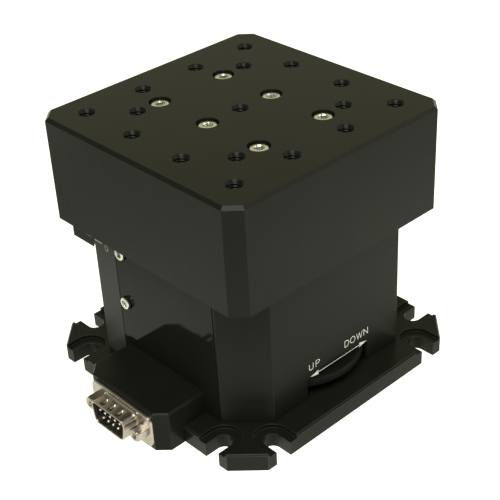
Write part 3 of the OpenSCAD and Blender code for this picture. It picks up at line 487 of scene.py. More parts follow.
@dataclass
class Blank:
    """Points and faces gathered for one mesh, in millimetres."""

    points: List[np.ndarray] = field(default_factory=list)
    faces: List[List[int]] = field(default_factory=list)
    count: int = 0

    def grid(self, points: np.ndarray, wrap_rows: bool = False, wrap_cols: bool = True) -> None:
        """Adds a surface of quads between neighbouring rows and columns of points.

        Args:
            points: Array of rows by columns by three.
            wrap_rows: Whether the last row joins the first.
            wrap_cols: Whether the last column joins the first.
        """
        rows, cols = points.shape[:2]
        number = np.arange(rows * cols).reshape(rows, cols) + self.count
        if wrap_rows:
            number = np.concatenate([number, number[:1]], 0)
        if wrap_cols:
            number = np.concatenate([number, number[:, :1]], 1)
        low, high = number[:-1], number[1:]
        quads = np.stack([low[:, :-1], high[:, :-1], high[:, 1:], low[:, 1:]], -1)
        self.faces += quads.reshape(-1, 4).tolist()
        self.points.append(points.reshape(-1, 3))
        self.count += rows * cols

    def bar(self, points: np.ndarray, ring: bool = False) -> None:
        """Adds a section carried along a path.

        Args:
            points: Array of places along the path by section points by three.
            ring: Whether the path closes on itself; if not, both ends are capped.
        """
        start = self.count
        rows, cols = points.shape[:2]
        self.grid(points, wrap_rows=ring)
        if not ring:
            self.faces.append(list(range(start, start + cols)))
            self.faces.append(list(range(start + (rows - 1) * cols, start + rows * cols)))

    def make(self, name: str, finish: Finish, body: Body, slot: Slot,
             smooth: float = 40.0) -> bpy.types.Object:
        """Makes the mesh, merges its seams and poles, turns its faces outwards and rides a body.

        Args:
            name: Name of the piece.
            finish: Its finish.
            body: The body it moves with.
            slot: The record's slot its finish comes from; not used.
            smooth: Largest angle between faces that still shade as one, in degrees.

        Returns:
            The piece made.
        """
        mesh = bpy.data.meshes.new(name)
        mesh.from_pydata((np.concatenate(self.points) * MM).tolist(), [], self.faces)
        work = bmesh.new()
        work.from_mesh(mesh)
        bmesh.ops.remove_doubles(work, verts=work.verts, dist=SEAM_GAP)
        bmesh.ops.recalc_face_normals(work, faces=work.faces)
        work.to_mesh(mesh)
        work.free()
        mesh.shade_smooth()
        mesh.set_sharp_from_angle(angle=math.radians(smooth))
        mesh.materials.append(finish.material())
        piece = show(name, mesh)
        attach(piece, body.value)
        LOG.info("%s: %d faces, rides on %s", name, len(mesh.polygons), body.value)
        return piece


def around(sides: int) -> np.ndarray:
    """Even angles once round a circle."""
    return np.arange(sides) * (TURN / sides)


def hexagon(across_flats: float, angle: np.ndarray) -> np.ndarray:
    """Radius of a hexagon at each angle: half the flats over the cosine of the angle to a flat."""
    sixth = TURN / 6
    return across_flats / 2 / np.cos(np.mod(angle, sixth) - sixth / 2)


def lathe(rows: Sequence[Row], sides: int) -> np.ndarray:
    """Surface of revolution: (r cos a, r sin a, h) for each row's radius r and height h.

    Args:
        rows: Each row's radius, one number or one for each angle, and its height.
        sides: Number of angles.

    Returns:
        Array of rows by sides by three.
    """
    angle = around(sides)
    r = np.stack([np.broadcast_to(radius, (sides,)) for radius, _ in rows])
    h = np.broadcast_to(np.array([height for _, height in rows])[:, None], r.shape)
    return np.stack([r * np.cos(angle), r * np.sin(angle), h], -1)


def stand(points: np.ndarray, place: Sequence[float], axis: Axis = Axis.UP,
          turn: float = 0.0) -> np.ndarray:
    """Turns points made along +Z about that axis, lays them along another, and moves them.

    Args:
        points: Array whose last axis is x, y, z.
        place: Where the origin goes.
        axis: Where +Z goes.
        turn: Turn about the points' own axis in degrees.

    Returns:
        The placed points.
    """
    c, s = math.cos(math.radians(turn)), math.sin(math.radians(turn))
    x, y, z = points[..., 0], points[..., 1], points[..., 2]
    x, y = c * x - s * y, s * x + c * y
    if axis is Axis.FRONT:
        y, z = -z, y
    elif axis is Axis.BACK:
        y, z = z, -y
    return np.stack([x, y, z], -1) + np.asarray(place, float)


def copies(form: np.ndarray, places: Sequence[Tuple[Xyz, float]], axis: Axis = Axis.UP) -> Blank:
    """Stands copies of one form.

    Args:
        form: The form's points.
        places: Each copy's place, and its turn in degrees.
        axis: Where the form's own axis goes.

    Returns:
        The copies, ready to be made.
    """
    blank = Blank()
    for place, turn in places:
        blank.grid(stand(form, place, axis, turn))
    return blank


def ridge(phase: np.ndarray) -> np.ndarray:
    """Thread form 1.35 - 3.2 |phase - 1/2|, cut off at nought on the root and one on the crest."""
    return np.clip(1.35 - np.abs(np.mod(phase, 1.0) - 0.5) * 3.2, 0.0, 1.0)


@dataclass(frozen=True)
class CapScrew:
    """A socket-head screw: seat at the origin, head along +Z, thread along -Z."""

    thread_d: float
    head_d: float
    head_h: float
    length: float
    flats: float
    pitch: float
    edge_share: float = 0.07
    edge_rows: Tuple[Pair, ...] = ((2.2, 0.0), (0.9, 0.45), (0.0, 1.6))
    knurl_share: float = 0.035
    knurl_rows: Pair = (2.2, 1.5)
    socket_share: float = 0.5
    point_share: float = 0.2
    mouth: Pair = (1.08, 0.12)
    root_share: float = 0.6
    run_out: float = 0.9
    tip_edge: Pair = (0.8, 0.1)
    sides: int = 72

    def surface(self) -> np.ndarray:
        """Rows from the socket's floor over the head and down the thread.

        The socket's radius is a hexagon's, the head's side is cut by a straight knurl that
        drops every other angle, and the thread's radius follows height over pitch plus angle
        over a turn.

        Returns:
            Array of rows by sides by three.
        """
        angle = around(self.sides)
        flat = hexagon(self.flats, angle)
        top, head, thread_r = self.head_h, self.head_d / 2, self.thread_d / 2
        floor, edge = top * self.socket_share, top * self.edge_share
        knurl = head - self.knurl_share * head * (np.arange(self.sides) % 2)
        wide, deep = self.mouth
        upper, lower = self.knurl_rows
        rows: List[Row] = [
            (0.0, floor - self.point_share * self.flats), (flat, floor),
            (flat, top - deep * self.flats), (np.maximum(flat, flat.max() * wide), top),
            *((head - back * edge, top - down * edge) for back, down in self.edge_rows),
            (knurl, top - upper * edge), (knurl, lower * edge), (head - edge, 0.0),
            (thread_r, 0.0)]
        pitch, root = self.pitch, self.root_share * self.pitch
        height = np.arange(-pitch, self.run_out * pitch - self.length, -pitch / THREAD_STEPS)
        phase = height[:, None] / pitch + angle / TURN
        rows += zip(thread_r - root * (1.0 - ridge(phase)), height)
        tip, end = thread_r - root, -self.length
        narrow, rise = self.tip_edge
        rows += [(tip, end + rise), (tip * narrow, end), (0.0, end)]
        return lathe(rows, self.sides)


@dataclass(frozen=True)
class FlushScrew:
    """A countersunk screw: face at the origin, shank along +Z."""

    head_r: float = 3.0
    edge: Pair = (0.15, 0.1)
    cone_z: float = 1.55
    shank_r: float = 1.5
    length: float = 7.0
    tip: float = 0.3
    flats: float = 2.0
    socket: float = 1.1
    point: float = 0.2
    mouth: Pair = (1.2, 0.08)
    sides: int = 48

    def surface(self) -> np.ndarray:
        """Rows from the hexagon socket's floor over the face, down the cone and along the shank.

        Returns:
            Array of rows by sides by three.
        """
        flat = hexagon(self.flats, around(self.sides))
        (mouth_r, mouth_z), (edge_r, edge_z) = self.mouth, self.edge
        shank, end, tip = self.shank_r, self.length, self.tip
        return lathe([
            (0.0, self.socket + self.point), (flat, self.socket), (flat, mouth_z),
            (np.maximum(flat, mouth_r), 0.0), (self.head_r - edge_r, 0.0), (self.head_r, edge_z),
            (shank, self.cone_z), (shank, end - tip), (shank - tip, end), (0.0, end)], self.sides)


@dataclass(frozen=True)
class HexPost:
    """A hexagon post for a plug's screw: seat at the origin, post along +Z, stud along -Z."""

    flats: float = 4.8
    length: float = 4.5
    nose_in: float = 0.2
    cone: float = 0.75
    cone_rows: int = 8
    foot: Pair = (0.35, 0.3)
    bore_r: float = 1.15
    bore_z: float = 0.5
    mouth: float = 0.3
    pitch: float = 0.5
    thread_h: float = 0.2
    thread_gap: float = 0.4
    stud_r: float = 1.4
    stud_len: float = 3.6
    stud_edge: float = 0.2
    sides: int = 96

    def surface(self) -> np.ndarray:
        """Rows up the threaded bore, over the coned nose, down the flats and along the stud.

        On the nose the radius is the lesser of the hexagon's and the cone's.

        Returns:
            Array of rows by sides by three.
        """
        angle = around(self.sides)
        flat = hexagon(self.flats, angle)
        tip, bore, low, mouth = self.length, self.bore_r, self.bore_z, self.mouth
        gap, nose = self.thread_gap, self.flats / 2 - self.nose_in
        height = np.arange(low + gap, tip - gap, self.pitch / THREAD_STEPS)
        thread = bore - self.thread_h * ridge(height[:, None] / self.pitch + angle / TURN)
        rows: List[Row] = [(0.0, low), (bore, low), *zip(thread, height)]
        rows += [(bore, tip - mouth), (bore + mouth, tip), (nose, tip)]
        rows += [(np.minimum(flat, nose + s), tip - s)
                 for s in np.linspace(0, self.cone, self.cone_rows)[1:]]
        foot_out, foot_z = self.foot
        stud, end, edge = self.stud_r, -self.stud_len, self.stud_edge
        rows += [(flat, foot_z), (np.minimum(flat, nose + foot_out), 0.0), (stud, 0.0),
                 (stud, end + edge), (stud - edge, end), (0.0, end)]
        return lathe(rows, self.sides)


def dress(finish: Finish, *nodes: str) -> None:
    """Gives CAD nodes a finish.

    Args:
        finish: The finish.
        nodes: The nodes' names.
    """
    for name in nodes:
        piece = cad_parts[name]
        piece.data.materials.clear()
        piece.data.materials.append(finish.material())
        LOG.info("%s: %s", name, finish.name)


def soften(width: float, edge: Finish, *nodes: str) -> None:
    """Breaks the sharp edges of CAD nodes with live modifiers, the broken edge a shade lighter.

    Args:
        width: Width of the broken edge.
        edge: Its finish.
        nodes: The nodes' names.
    """
    for name in nodes:
        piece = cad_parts[name]
        piece.data.materials.append(edge.material())
        weld = piece.modifiers.new("weld", "WELD")
        weld.merge_threshold = WELD_GAP
        flat = piece.modifiers.new("flat", "DECIMATE")
        flat.decimate_type = "DISSOLVE"
        flat.angle_limit = FLAT_ANGLE
        bevel = piece.modifiers.new("edge", "BEVEL")
        bevel.width = width * MM
        bevel.segments = 2
        bevel.limit_method = "ANGLE"
        bevel.angle_limit = BREAK_ANGLE
        bevel.material = 1
        normals = piece.modifiers.new("normals", "WEIGHTED_NORMAL")
        normals.weight = 100


class Face(Enum):
    """The upright faces that carry printed marks: origin, reading direction and outward normal."""

    FRONT = ((0.0, -45.0, 0.0), (1.0, 0.0, 0.0), (0.0, -1.0, 0.0))
    WHEEL = ((45.0, 0.0, 0.0), (0.0, 1.0, 0.0), (1.0, 0.0, 0.0))

    def lift(self, flat: np.ndarray, out: float) -> np.ndarray:
        """Places flat points on the face.

        Args:
            flat: Points along the reading direction and up.
            out: Distance out of the face.

        Returns:
            The points in space.
        """
        origin, along, normal = (np.array(v) for v in self.value)
        up = np.array((0.0, 0.0, 1.0))
        return origin + flat[..., :1] * along + flat[..., 1:] * up + out * normal


def arc(cx: float, cy: float, rx: float, ry: float, start: float, end: float,
        steps: int = 12) -> np.ndarray:
    """Points on an ellipse's arc: centre plus (rx cos a, ry sin a), angles in degrees."""
    a = np.radians(np.linspace(start, end, steps))
    return np.stack([cx + rx * np.cos(a), cy + ry * np.sin(a)], -1)


def line(*points: Pair) -> np.ndarray:
    """A line through points."""
    return np.array(points, float)


def join(*parts: np.ndarray) -> np.ndarray:
    """One line through all parts."""
    return np.concatenate(parts)


@dataclass(frozen=True)
class Glyph:
    """A letter or numeral one unit high, drawn in one stroke."""

    width: float
    stroke: np.ndarray


GLYPHS: Dict[str, Glyph] = {
    "U": Glyph(0.68, join(line((0, 1)), arc(0.34, 0.34, 0.34, 0.34, 180, 360), line((0.68, 1)))),
    "P": Glyph(0.62, join(
        line((0, 0), (0, 1)), arc(0.34, 0.74, 0.28, 0.26, 90, -90), line((0, 0.48)))),
    "D": Glyph(0.72, join(
        line((0, 0), (0, 1)), arc(0.3, 0.5, 0.42, 0.5, 90, -90), line((0.02, 0)))),
    "O": Glyph(0.82, arc(0.41, 0.5, 0.41, 0.5, 90, 450, 29)[:-1]),
    "W": Glyph(1.02, line((0, 1), (0.26, 0), (0.51, 0.9), (0.76, 0), (1.02, 1))),
    "N": Glyph(0.7, line((0, 0), (0, 1), (0.7, 0), (0.7, 1))),
    "0": Glyph(0.56, arc(0.28, 0.5, 0.28, 0.5, 90, 450, 29)[:-1]),
    "1": Glyph(0.3, line((0, 0.76), (0.24, 1), (0.24, 0))),
    "2": Glyph(0.56, join(arc(0.28, 0.7, 0.27, 0.3, 170, -35), line((0, 0), (0.56, 0)))),
    "5": Glyph(0.56, join(
        line((0.52, 1), (0.1, 1), (0.05, 0.56)), arc(0.27, 0.33, 0.28, 0.33, 115, -150))),
}


@dataclass
class Print:
    """Ink marks on one face, a hair thick."""

    face: Face
    stroke: float = 0.26
    wide: float = 1.12
    proud: float = 0.025
    mitre: float = 0.35
    blank: Blank = field(default_factory=Blank)

    def path(self, flat: np.ndarray, ring: bool = False) -> None:
        """Carries a small rectangle along a line in the face, its corners mitred.

        At each point the sides stand off along the bisector of its two segments, by half the
        stroke over the cosine of half the bend.

        Args:
            flat: Points of the line.
            ring: Whether the line closes on itself.
        """
        step = np.roll(flat, -1, 0) - flat
        if not ring:
            step[-1] = step[-2]
        step = step / np.linalg.norm(step, axis=1, keepdims=True)
        before = np.roll(step, 1, 0)
        if not ring:
            before[0] = step[0]
        middle = step + before
        middle = middle / np.linalg.norm(middle, axis=1, keepdims=True)
        bend = np.clip((middle * step).sum(1, keepdims=True), self.mitre, 1.0)
        side = np.stack([-middle[:, 1], middle[:, 0]], -1) * (self.stroke / 2 / bend)
        left, right = flat + side, flat - side
        lift = self.face.lift
        section = [lift(left, -self.proud), lift(left, self.proud),
                   lift(right, self.proud), lift(right, -self.proud)]
        self.blank.bar(np.stack(section, 1), ring)

    def patch(self, outline: np.ndarray) -> None:
        """Adds a flat patch with this outline."""
        self.blank.bar(np.stack([self.face.lift(outline, s * self.proud) for s in (-1, 1)], 0))

    def word(self, text: str, left: float, foot: float, height: float, gap: float) -> None:
        """Writes a word.

        Args:
            text: Its letters.
            left: Where it starts along the face.
            foot: Height of its foot.
            height: Height of its letters.
            gap: Space between letters, in letter heights.
        """
        size = np.array((height * self.wide, height))
        at = left
        for letter in text:
            glyph = GLYPHS[letter]
            self.path(glyph.stroke * size + np.array((at, foot)), ring=letter in "O0")
            at += glyph.width * size[0] + gap * height


@dataclass
class Platform:
    """The platform cap, its screws, the threads in its holes and its index mark."""

    pitch: float = 25.0
    edge: float = 0.25
    screw: CapScrew = CapScrew(4.0, 7.0, 4.0, 12.25, 3.0, 0.7)
    screw_row: float = 15.0
    screw_turn: Pair = (8.0, 17.0)
    seat: float = 96.25
    thread_r: float = 2.52
    thread_depth: float = 0.34
    thread_pitch: float = 1.0
    thread_z: Pair = (91.4, 100.25)
    thread_steps: int = 36
    thread_fade: float = TURN / 3
    thread_end: float = 0.05
    thread_rise: Tuple[float, ...] = (-0.42, -0.07, 0.07, 0.42)
    index_x: Pair = (-36.4, -33.4)
    index_z: float = 55.5

    def holes(self) -> np.ndarray:
        """Middles of the threaded holes: a ring of twelve, a square of four and the centre.

        Returns:
            Array of holes by two.
        """
        ring = np.array((-1.5, -0.5, 0.5, 1.5)) * self.pitch
        x, y = (v.ravel() for v in np.meshgrid(ring, ring))
        outer = np.maximum(abs(x), abs(y)) > self.pitch
        square = np.array([(1, 1), (1, -1), (-1, 1), (-1, -1), (0, 0)]) * self.pitch
        return np.concatenate([np.stack([x, y], -1)[outer], square])

    def threads(self) -> None:
        """A blunt ridge along a helix in each hole: (r cos a, r sin a, low + pitch a / turn)."""
        low, high = self.thread_z
        turns = (high - low) / self.thread_pitch
        angle = np.linspace(0, turns * TURN, int(turns * self.thread_steps) + 1)[:, None]
        fade = np.clip(np.minimum(angle, angle[::-1]) / self.thread_fade, self.thread_end, 1.0)
        depth = np.array((0.0, 1.0, 1.0, 0.0)) * self.thread_depth * fade
        rise = np.array(self.thread_rise) * self.thread_pitch
        r = self.thread_r - depth
        z = np.broadcast_to(low + self.thread_pitch * angle / TURN + rise, r.shape)
        helix = np.stack([r * np.cos(angle), r * np.sin(angle), z], -1)
        blank = Blank()
        for x, y in self.holes():
            blank.bar(helix + np.array((x, y, 0.0)))
        blank.make("platform_threads", PLATFORM_BLACK, Body.LIFT, Slot.BLACK)

    def screws(self) -> None:
        """Six socket screws, each turned a little differently."""
        first, step = self.screw_turn
        places = [(((k % 3 - 1) * self.pitch, (k // 3 * 2 - 1) * self.screw_row, self.seat),
                   first + step * k) for k in range(6)]
        blank = copies(self.screw.surface(), places)
        piece = blank.make("platform_cap_screws", STAINLESS, Body.LIFT, Slot.SCREWS)
        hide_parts("platform_screws")

    def mark(self) -> None:
        """The index line at the right end of the index block's face."""
        ink = Print(Face.FRONT)
        ink.path(line(*((x, self.index_z) for x in self.index_x)))
        ink.blank.make("index_mark", SCALE_INK, Body.LIFT, Slot.BLACK)

    def build(self) -> None:
        """Makes the platform's own pieces and dresses its CAD nodes."""
        dress(PLATFORM_BLACK, "platform_cap", "index_block")
        soften(self.edge, EDGE_BLACK, "platform_cap")
        dress(STAINLESS, "index_screw")
        self.threads()
        self.screws()
        self.mark()


@dataclass
class Housing:
    """The housing, its front cover with screws, and the printed scale and wheel marks."""

    edge: float = 0.2
    screw: CapScrew = CapScrew(2.8, 4.7, 2.8, 5.8, 2.2, 0.5)
    screw_x: float = -16.0
    screw_y: float = -43.8
    screw_z: Pair = (35.15, 56.15)
    screw_turn: Pair = (20.0, 33.0)
    flush: FlushScrew = FlushScrew()
    flush_at: Xyz = (26.2, -44.7, 80.5)
    zero_z: float = 55.5
    zero_half: float = 0.5
    travel: int = 25
    tick_x: float = -31.8
    tick_w: float = 0.24
    tick_len: Pair = (2.2, 4.2)
    number_at: Pair = (5.9, -2.5)
    number_h: float = 2.6
    number_gap: float = 0.25
    arrow: Pair = (-14.0, 15.4)
    arrow_z: float = 16.2
    head_len: float = 4.2
    head_half: float = 0.95
    head_join: float = 0.8
    head_notch: float = 0.86
    words: Tuple[Tuple[str, float, float, float, float], ...] = (
        ("UP", -14.5, 19.2, 2.55, 0.55), ("DOWN", 3.7, 19.3, 2.65, 0.31))

    def screws(self) -> None:
        """Two socket screws that stand out of the cover, and one sunk in it."""
        first, step = self.screw_turn
        places = [((self.screw_x, self.screw_y, z), first + step * k)
                  for k, z in enumerate(self.screw_z)]
        blank = copies(self.screw.surface(), places, Axis.FRONT)
        blank.grid(stand(self.flush.surface(), self.flush_at, Axis.BACK))
        piece = blank.make("front_cover_screws", STAINLESS, Body.FRAME, Slot.SCREWS)
        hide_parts("cover_screws")

    def scale(self) -> None:
        """The lift scale: a line each millimetre, longer at five and numbered, broad at nought."""
        ink = Print(Face.FRONT, stroke=self.tick_w)
        short, long = self.tick_len
        over, drop = self.number_at
        for k in range(self.travel + 1):
            fifth = k % 5 == 0
            z = self.zero_z + k
            half = self.zero_half if k == 0 else ink.stroke / 2
            left, right = self.tick_x, self.tick_x + (long if fifth else short)
            low, high = z - half, z + half
            ink.patch(line((left, low), (right, low), (right, high), (left, high)))
            if fifth:
                ink.word(str(k), left + over, z + drop, self.number_h, self.number_gap)
        ink.blank.make("lift_scale", SCALE_INK, Body.FRAME, Slot.BLACK)

    def wheel_marks(self) -> None:
        """The double arrow over the thumbwheel, with UP and DOWN at its ends."""
        ink = Print(Face.WHEEL)
        first, last = self.arrow
        z, head, half = self.arrow_z, self.head_len, self.head_half
        join_at = head * self.head_join
        ink.path(line((first + join_at, z), (last - join_at, z)))
        for tip, way in ((first, head), (last, -head)):
            barb, notch = tip + way, tip + way * self.head_notch
            ink.patch(line((tip, z), (barb, z + half), (notch, z), (barb, z - half)))
        for word in self.words:
            ink.word(*word)
        ink.blank.make("wheel_marks", INK, Body.FRAME, Slot.BLACK)

    def build(self) -> None:
        """Makes the housing's own pieces and dresses its CAD nodes."""
        dress(HOUSING_BLACK, "housing")
        dress(COVER_BLACK, "front_cover")
        soften(self.edge, EDGE_BLACK, "housing", "front_cover")
        dress(DARK_STEEL, "housing_screws")
        self.screws()
        self.scale()
        self.wheel_marks()


@dataclass
class BasePlate:
    """The slotted base plate."""

    edge: float = 0.25

    def build(self) -> None:
        """Dresses the plate and breaks its edges."""
        dress(BASE_BLACK, "base_plate")
        # The broken edges are lighter: partly wear, partly painted highlight.
        soften(self.edge, WORN_AND_HIGHLIGHT_BLACK, "base_plate")


@dataclass
class Connector:
    """The connector box and its nine-way plug."""

    x: float = 3.1
    z: float = 7.7
    edge: float = 0.2
    box_y: float = -65.5
    flange: Xyz = (32.8, 13.0, 2.5)
    flange_y: float = -66.6
    flange_edge: Pair = (0.25, 0.08)
    flange_rows: Xyz = (0.34, 0.67, 1.0)
    shell_w: float = 18.3
    shell_h: float = 9.2
    tip_y: float = -72.6
    slant: float = 10.0
    corner: float = 2.0
    wall: float = 0.5
    fillet: float = 0.7
    shell_rows: Tuple[int, int, int, int] = (26, 7, 24, 6)
    dent_x: Xyz = (-4.1, 0.2, 4.5)
    dent_y: float = -69.7
    dent_size: Pair = (0.9, 1.5)
    dent_h: float = 0.7
    dent_under: float = 0.3
    pin_d: float = 1.0
    pin_y: Pair = (-71.8, -58.5)
    pin_pitch: float = 2.76
    pin_rows: float = 2.84
    pin_end: Pair = (0.8, 0.1)
    pin_sides: int = 24
    dome_rows: int = 8
    post: HexPost = HexPost()
    post_span: float = 24.99
    post_turn: Pair = (-11.0, 34.0)
    sides: int = 360
    arc_points: int = 16
    side_points: int = 24

    def outline(self, corners: Sequence[Tuple[float, float, float, float]],
                r: float) -> np.ndarray:
        """Goes round corner arcs and the straight sides between them in even angles.

        Args:
            corners: Each arc's middle and its first and last angle.
            r: Radius of the arcs.

        Returns:
            Points at even angles about the middle, their distance from it interpolated.
        """
        arcs = join(*(arc(cx, cy, r, r, a0, a1, self.arc_points) for cx, cy, a0, a1 in corners))
        share = np.linspace(0, 1, self.side_points, endpoint=False)[:, None]
        sides = arcs[:, None] * (1 - share) + np.roll(arcs, -1, 0)[:, None] * share
        x, y = sides.reshape(-1, 2).T
        even = around(self.sides) - math.pi
        away = np.interp(even, np.arctan2(y, x), np.hypot(x, y), period=TURN)
        return np.stack([away * np.cos(even), away * np.sin(even)], -1)

    def d_outline(self, grow: float) -> np.ndarray:
        """The plug's D: a wide side up, its ends slanting inwards, all corners round.

        Args:
            grow: How far it is set outwards.

        Returns:
            Points at even angles.
        """
        half = self.shell_h / 2 + grow
        r, s = self.corner, self.slant
        top = self.shell_w / 2 + grow - r
        low = top - (2 * half - 2 * r) * math.tan(math.radians(s))
        return self.outline([
            (top, half - r, -s, 90), (-top, half - r, 90, 180 + s),
            (-low, r - half, 180 + s, 270), (low, r - half, 270, 360 - s)], r)

    def flange_outline(self, inset: float) -> np.ndarray:
        """The flange's rounded rectangle.

        Args:
            inset: How far it is set inwards.

        Returns:
            Points at even angles.
        """
        w, h, r = self.flange
        x, y = w / 2 - r, h / 2 - r
        return self.outline([
            (x, y, 0, 90), (-x, y, 90, 180), (-x, -y, 180, 270), (x, -y, 270, 360)], r - inset)

    def shell(self) -> None:
        """One closed skin: up the inner wall, over the lip, down the outer wall, over the flange.

        Three dents on the upper side follow exp(-(dx / a)^4 - (dy / b)^4) and push both walls in.
        """
        face, back, fillet = self.flange_y, self.box_y, self.fillet
        wall, lip = self.wall, self.wall / 2
        start = self.tip_y + lip
        edge, ease = self.flange_edge
        inside, over, outside, root = self.shell_rows
        rows = [(self.d_outline(-wall), y) for y in np.linspace(back, start, inside)]
        rows += [(self.d_outline(-lip - lip * math.cos(a)), start - lip * math.sin(a))
                 for a in np.radians(np.linspace(0, 180, over)[1:-1])]
        rows += [(self.d_outline(0.0), y) for y in np.linspace(start, face - fillet, outside)]
        rows += [(self.d_outline(fillet * (1 - math.cos(a))), face - fillet * (1 - math.sin(a)))
                 for a in np.radians(np.linspace(0, 90, root)[1:])]
        inner, outer = rows[-1][0], self.flange_outline(edge)
        rows += [(inner * (1 - k) + outer * k, face) for k in self.flange_rows]
        rows += [(self.flange_outline(ease), face + ease), (self.flange_outline(0.0), face + edge),
                 (self.flange_outline(0.0), back)]
        x, z = np.moveaxis(np.stack([outline for outline, _ in rows]), -1, 0)
        y = np.broadcast_to(np.array([along for _, along in rows])[:, None], x.shape)
        a, b = self.dent_size
        for middle in self.dent_x:
            pit = self.dent_h * np.exp(-((x - middle) / a) ** 4 - ((y - self.dent_y) / b) ** 4)
            z = z - pit * (z > self.shell_h / 2 - wall - self.dent_under)
        blank = Blank()
        blank.grid(np.stack([x + self.x, y, z + self.z], -1), wrap_rows=True)
        piece = blank.make("connector_plug_shell", NICKEL, Body.FRAME, Slot.NICKEL, smooth=50.0)
        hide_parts("connector_shell")

    def pins(self) -> None:
        """Nine round pins; over the domed tip, radius r sin a and height r (1 - cos a)."""
        tip, back = self.pin_y
        r, length = self.pin_d / 2, back - tip
        narrow, cut = self.pin_end
        rows = [(r * math.sin(a), r * (1 - math.cos(a)))
                for a in np.linspace(0, math.pi / 2, self.dome_rows)]
        rows += [(r, length - cut), (r * narrow, length), (0.0, length)]
        spots = [(k * self.pin_pitch, self.pin_rows / 2) for k in range(-2, 3)]
        spots += [((k - 1.5) * self.pin_pitch, -self.pin_rows / 2) for k in range(4)]
        places = [((self.x + x, tip, self.z + z), 0.0) for x, z in spots]
        blank = copies(lathe(rows, self.pin_sides), places, Axis.BACK)
        piece = blank.make("connector_contacts", GILT, Body.FRAME, Slot.GILT)
        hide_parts("connector_pins")

    def jackscrews(self) -> None:
        """The two hexagon posts beside the plug, each turned its own way."""
        places = [((self.x + side * self.post_span / 2, self.flange_y, self.z), turn)
                  for side, turn in zip((-1, 1), self.post_turn)]
        blank = copies(self.post.surface(), places, Axis.FRONT)
        piece = blank.make("connector_hex_posts", NICKEL, Body.FRAME, Slot.NICKEL, smooth=25.0)
        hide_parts("connector_jackscrews")

    def build(self) -> None:
        """Makes the plug's pieces and dresses the box and insulator."""
        dress(BOX_BLACK, "connector_box")
        soften(self.edge, EDGE_BLACK, "connector_box")
        dress(PLASTIC, "connector_insulator")
        dress(DARK_STEEL, "box_screws")
        self.shell()
        self.pins()
        self.jackscrews()


@dataclass
class Spindle:
    """The thumbwheel with its knurled rim, and the lead screw."""

    x: float = 23.4
    rim_r: float = 25.0
    rim_z: Pair = (11.4, 14.6)
    rim_sunk: float = 0.3
    ridges: int = 150
    ridge_h: float = 0.16
    ridge_end: float = 0.2
    ridge_foot: float = 0.04
    rim_foot: float = 0.02
    foot_z: float = 8.0
    shaft_r: float = 2.5
    shaft_top: float = 46.5
    journal_r: float = 3.0
    journal_top: float = 52.6
    collar_r: float = 3.7
    lead_r: float = 4.0
    lead: float = 1.0
    lead_steps: int = 8
    lead_z: Pair = (53.2, 87.8)
    root: float = 0.55
    tip_z: float = 88.5
    tip_cone: float = 0.5
    chamfer: float = 0.3
    sides: int = 48

    def knurl(self) -> None:
        """A band of straight ridges on the rim: radius rises and falls once for each ridge."""
        sides = self.ridges * 4
        rise = np.clip(1 - 2 * np.abs(np.arange(sides) % 4 / 4 - 0.5), 0, 1)
        crest = self.rim_r - self.ridge_foot + self.ridge_h * rise
        side, inner = self.rim_r - self.rim_foot, self.rim_r - self.rim_sunk
        low, high = self.rim_z
        form = lathe([(inner, low), (side, low), (crest, low + self.ridge_end),
                      (crest, high - self.ridge_end), (side, high), (inner, high)], sides)
        blank = Blank()
        blank.grid(stand(form, (self.x, 0, 0)), wrap_rows=True)
        blank.make("wheel_knurl", RIM_BLACK, Body.SPINDLE, Slot.BLACK, smooth=30.0)

    def screw(self) -> None:
        """Shaft, journal and lead screw; the thread follows height over lead less angle."""
        height = np.arange(*self.lead_z, self.lead / self.lead_steps)
        phase = height[:, None] / self.lead - around(self.sides) / TURN
        core, shaft, journal = self.lead_r - self.root, self.shaft_r, self.journal_r
        foot, top, cut = self.foot_z, self.journal_top, self.chamfer
        form = lathe([
            (0.0, foot), (shaft - cut, foot), (shaft, foot + cut), (shaft, self.shaft_top),
            (journal, self.shaft_top), (journal, top), (self.collar_r, top), (core, top + cut),
            *zip(self.lead_r - self.root * (1 - ridge(phase)), height),
            (core, self.tip_z - self.tip_cone), (journal, self.tip_z), (0.0, self.tip_z)],
            self.sides)
        blank = copies(form, [((self.x, 0.0, 0.0), 0.0)])
        piece = blank.make("threaded_spindle", GROUND_STEEL, Body.SPINDLE, Slot.GROUND)
        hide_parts("lead_screw")

    def build(self) -> None:
        """Makes the spindle's own pieces and dresses its CAD nodes."""
        dress(WHEEL_BLACK, "thumbwheel")
        dress(DARK_STEEL, "wheel_set_screw")
        dress(LAMINATED, "motor_rotor")
        self.knurl()
        self.screw()


@dataclass
class Inside:
    """What the housing hides: guide, drive and limit sensors."""

    finishes: Tuple[Tuple[Finish, Tuple[str, ...]], ...] = (
        (ALUMINIUM, ("guide_frame", "motor_bracket", "carriage", "limit_flag")),
        (GROUND_STEEL, (
            "fixed_rail_front", "fixed_rail_rear", "moving_rail_front", "moving_rail_rear",
            "front_rollers", "rear_rollers", "motor_bearings", "screw_bearing")),
        (STAINLESS, (
            "fixed_rail_screws", "moving_rail_screws", "motor_screws", "sensor_screws",
            "nut_screws", "flag_screws")),
        (DARK_STEEL, ("guide_screws", "bracket_screws")),
        (MOTOR_PAINT, ("motor_front_cap", "motor_rear_cap")),
        (BRONZE, ("lead_nut", "front_cage", "rear_cage")),
        (LAMINATED, ("motor_stator",)),
        (PLASTIC, ("limit_sensors",)))

    def build(self) -> None:
        """Dresses every hidden node."""
        for finish, nodes in self.finishes:
            dress(finish, *nodes)


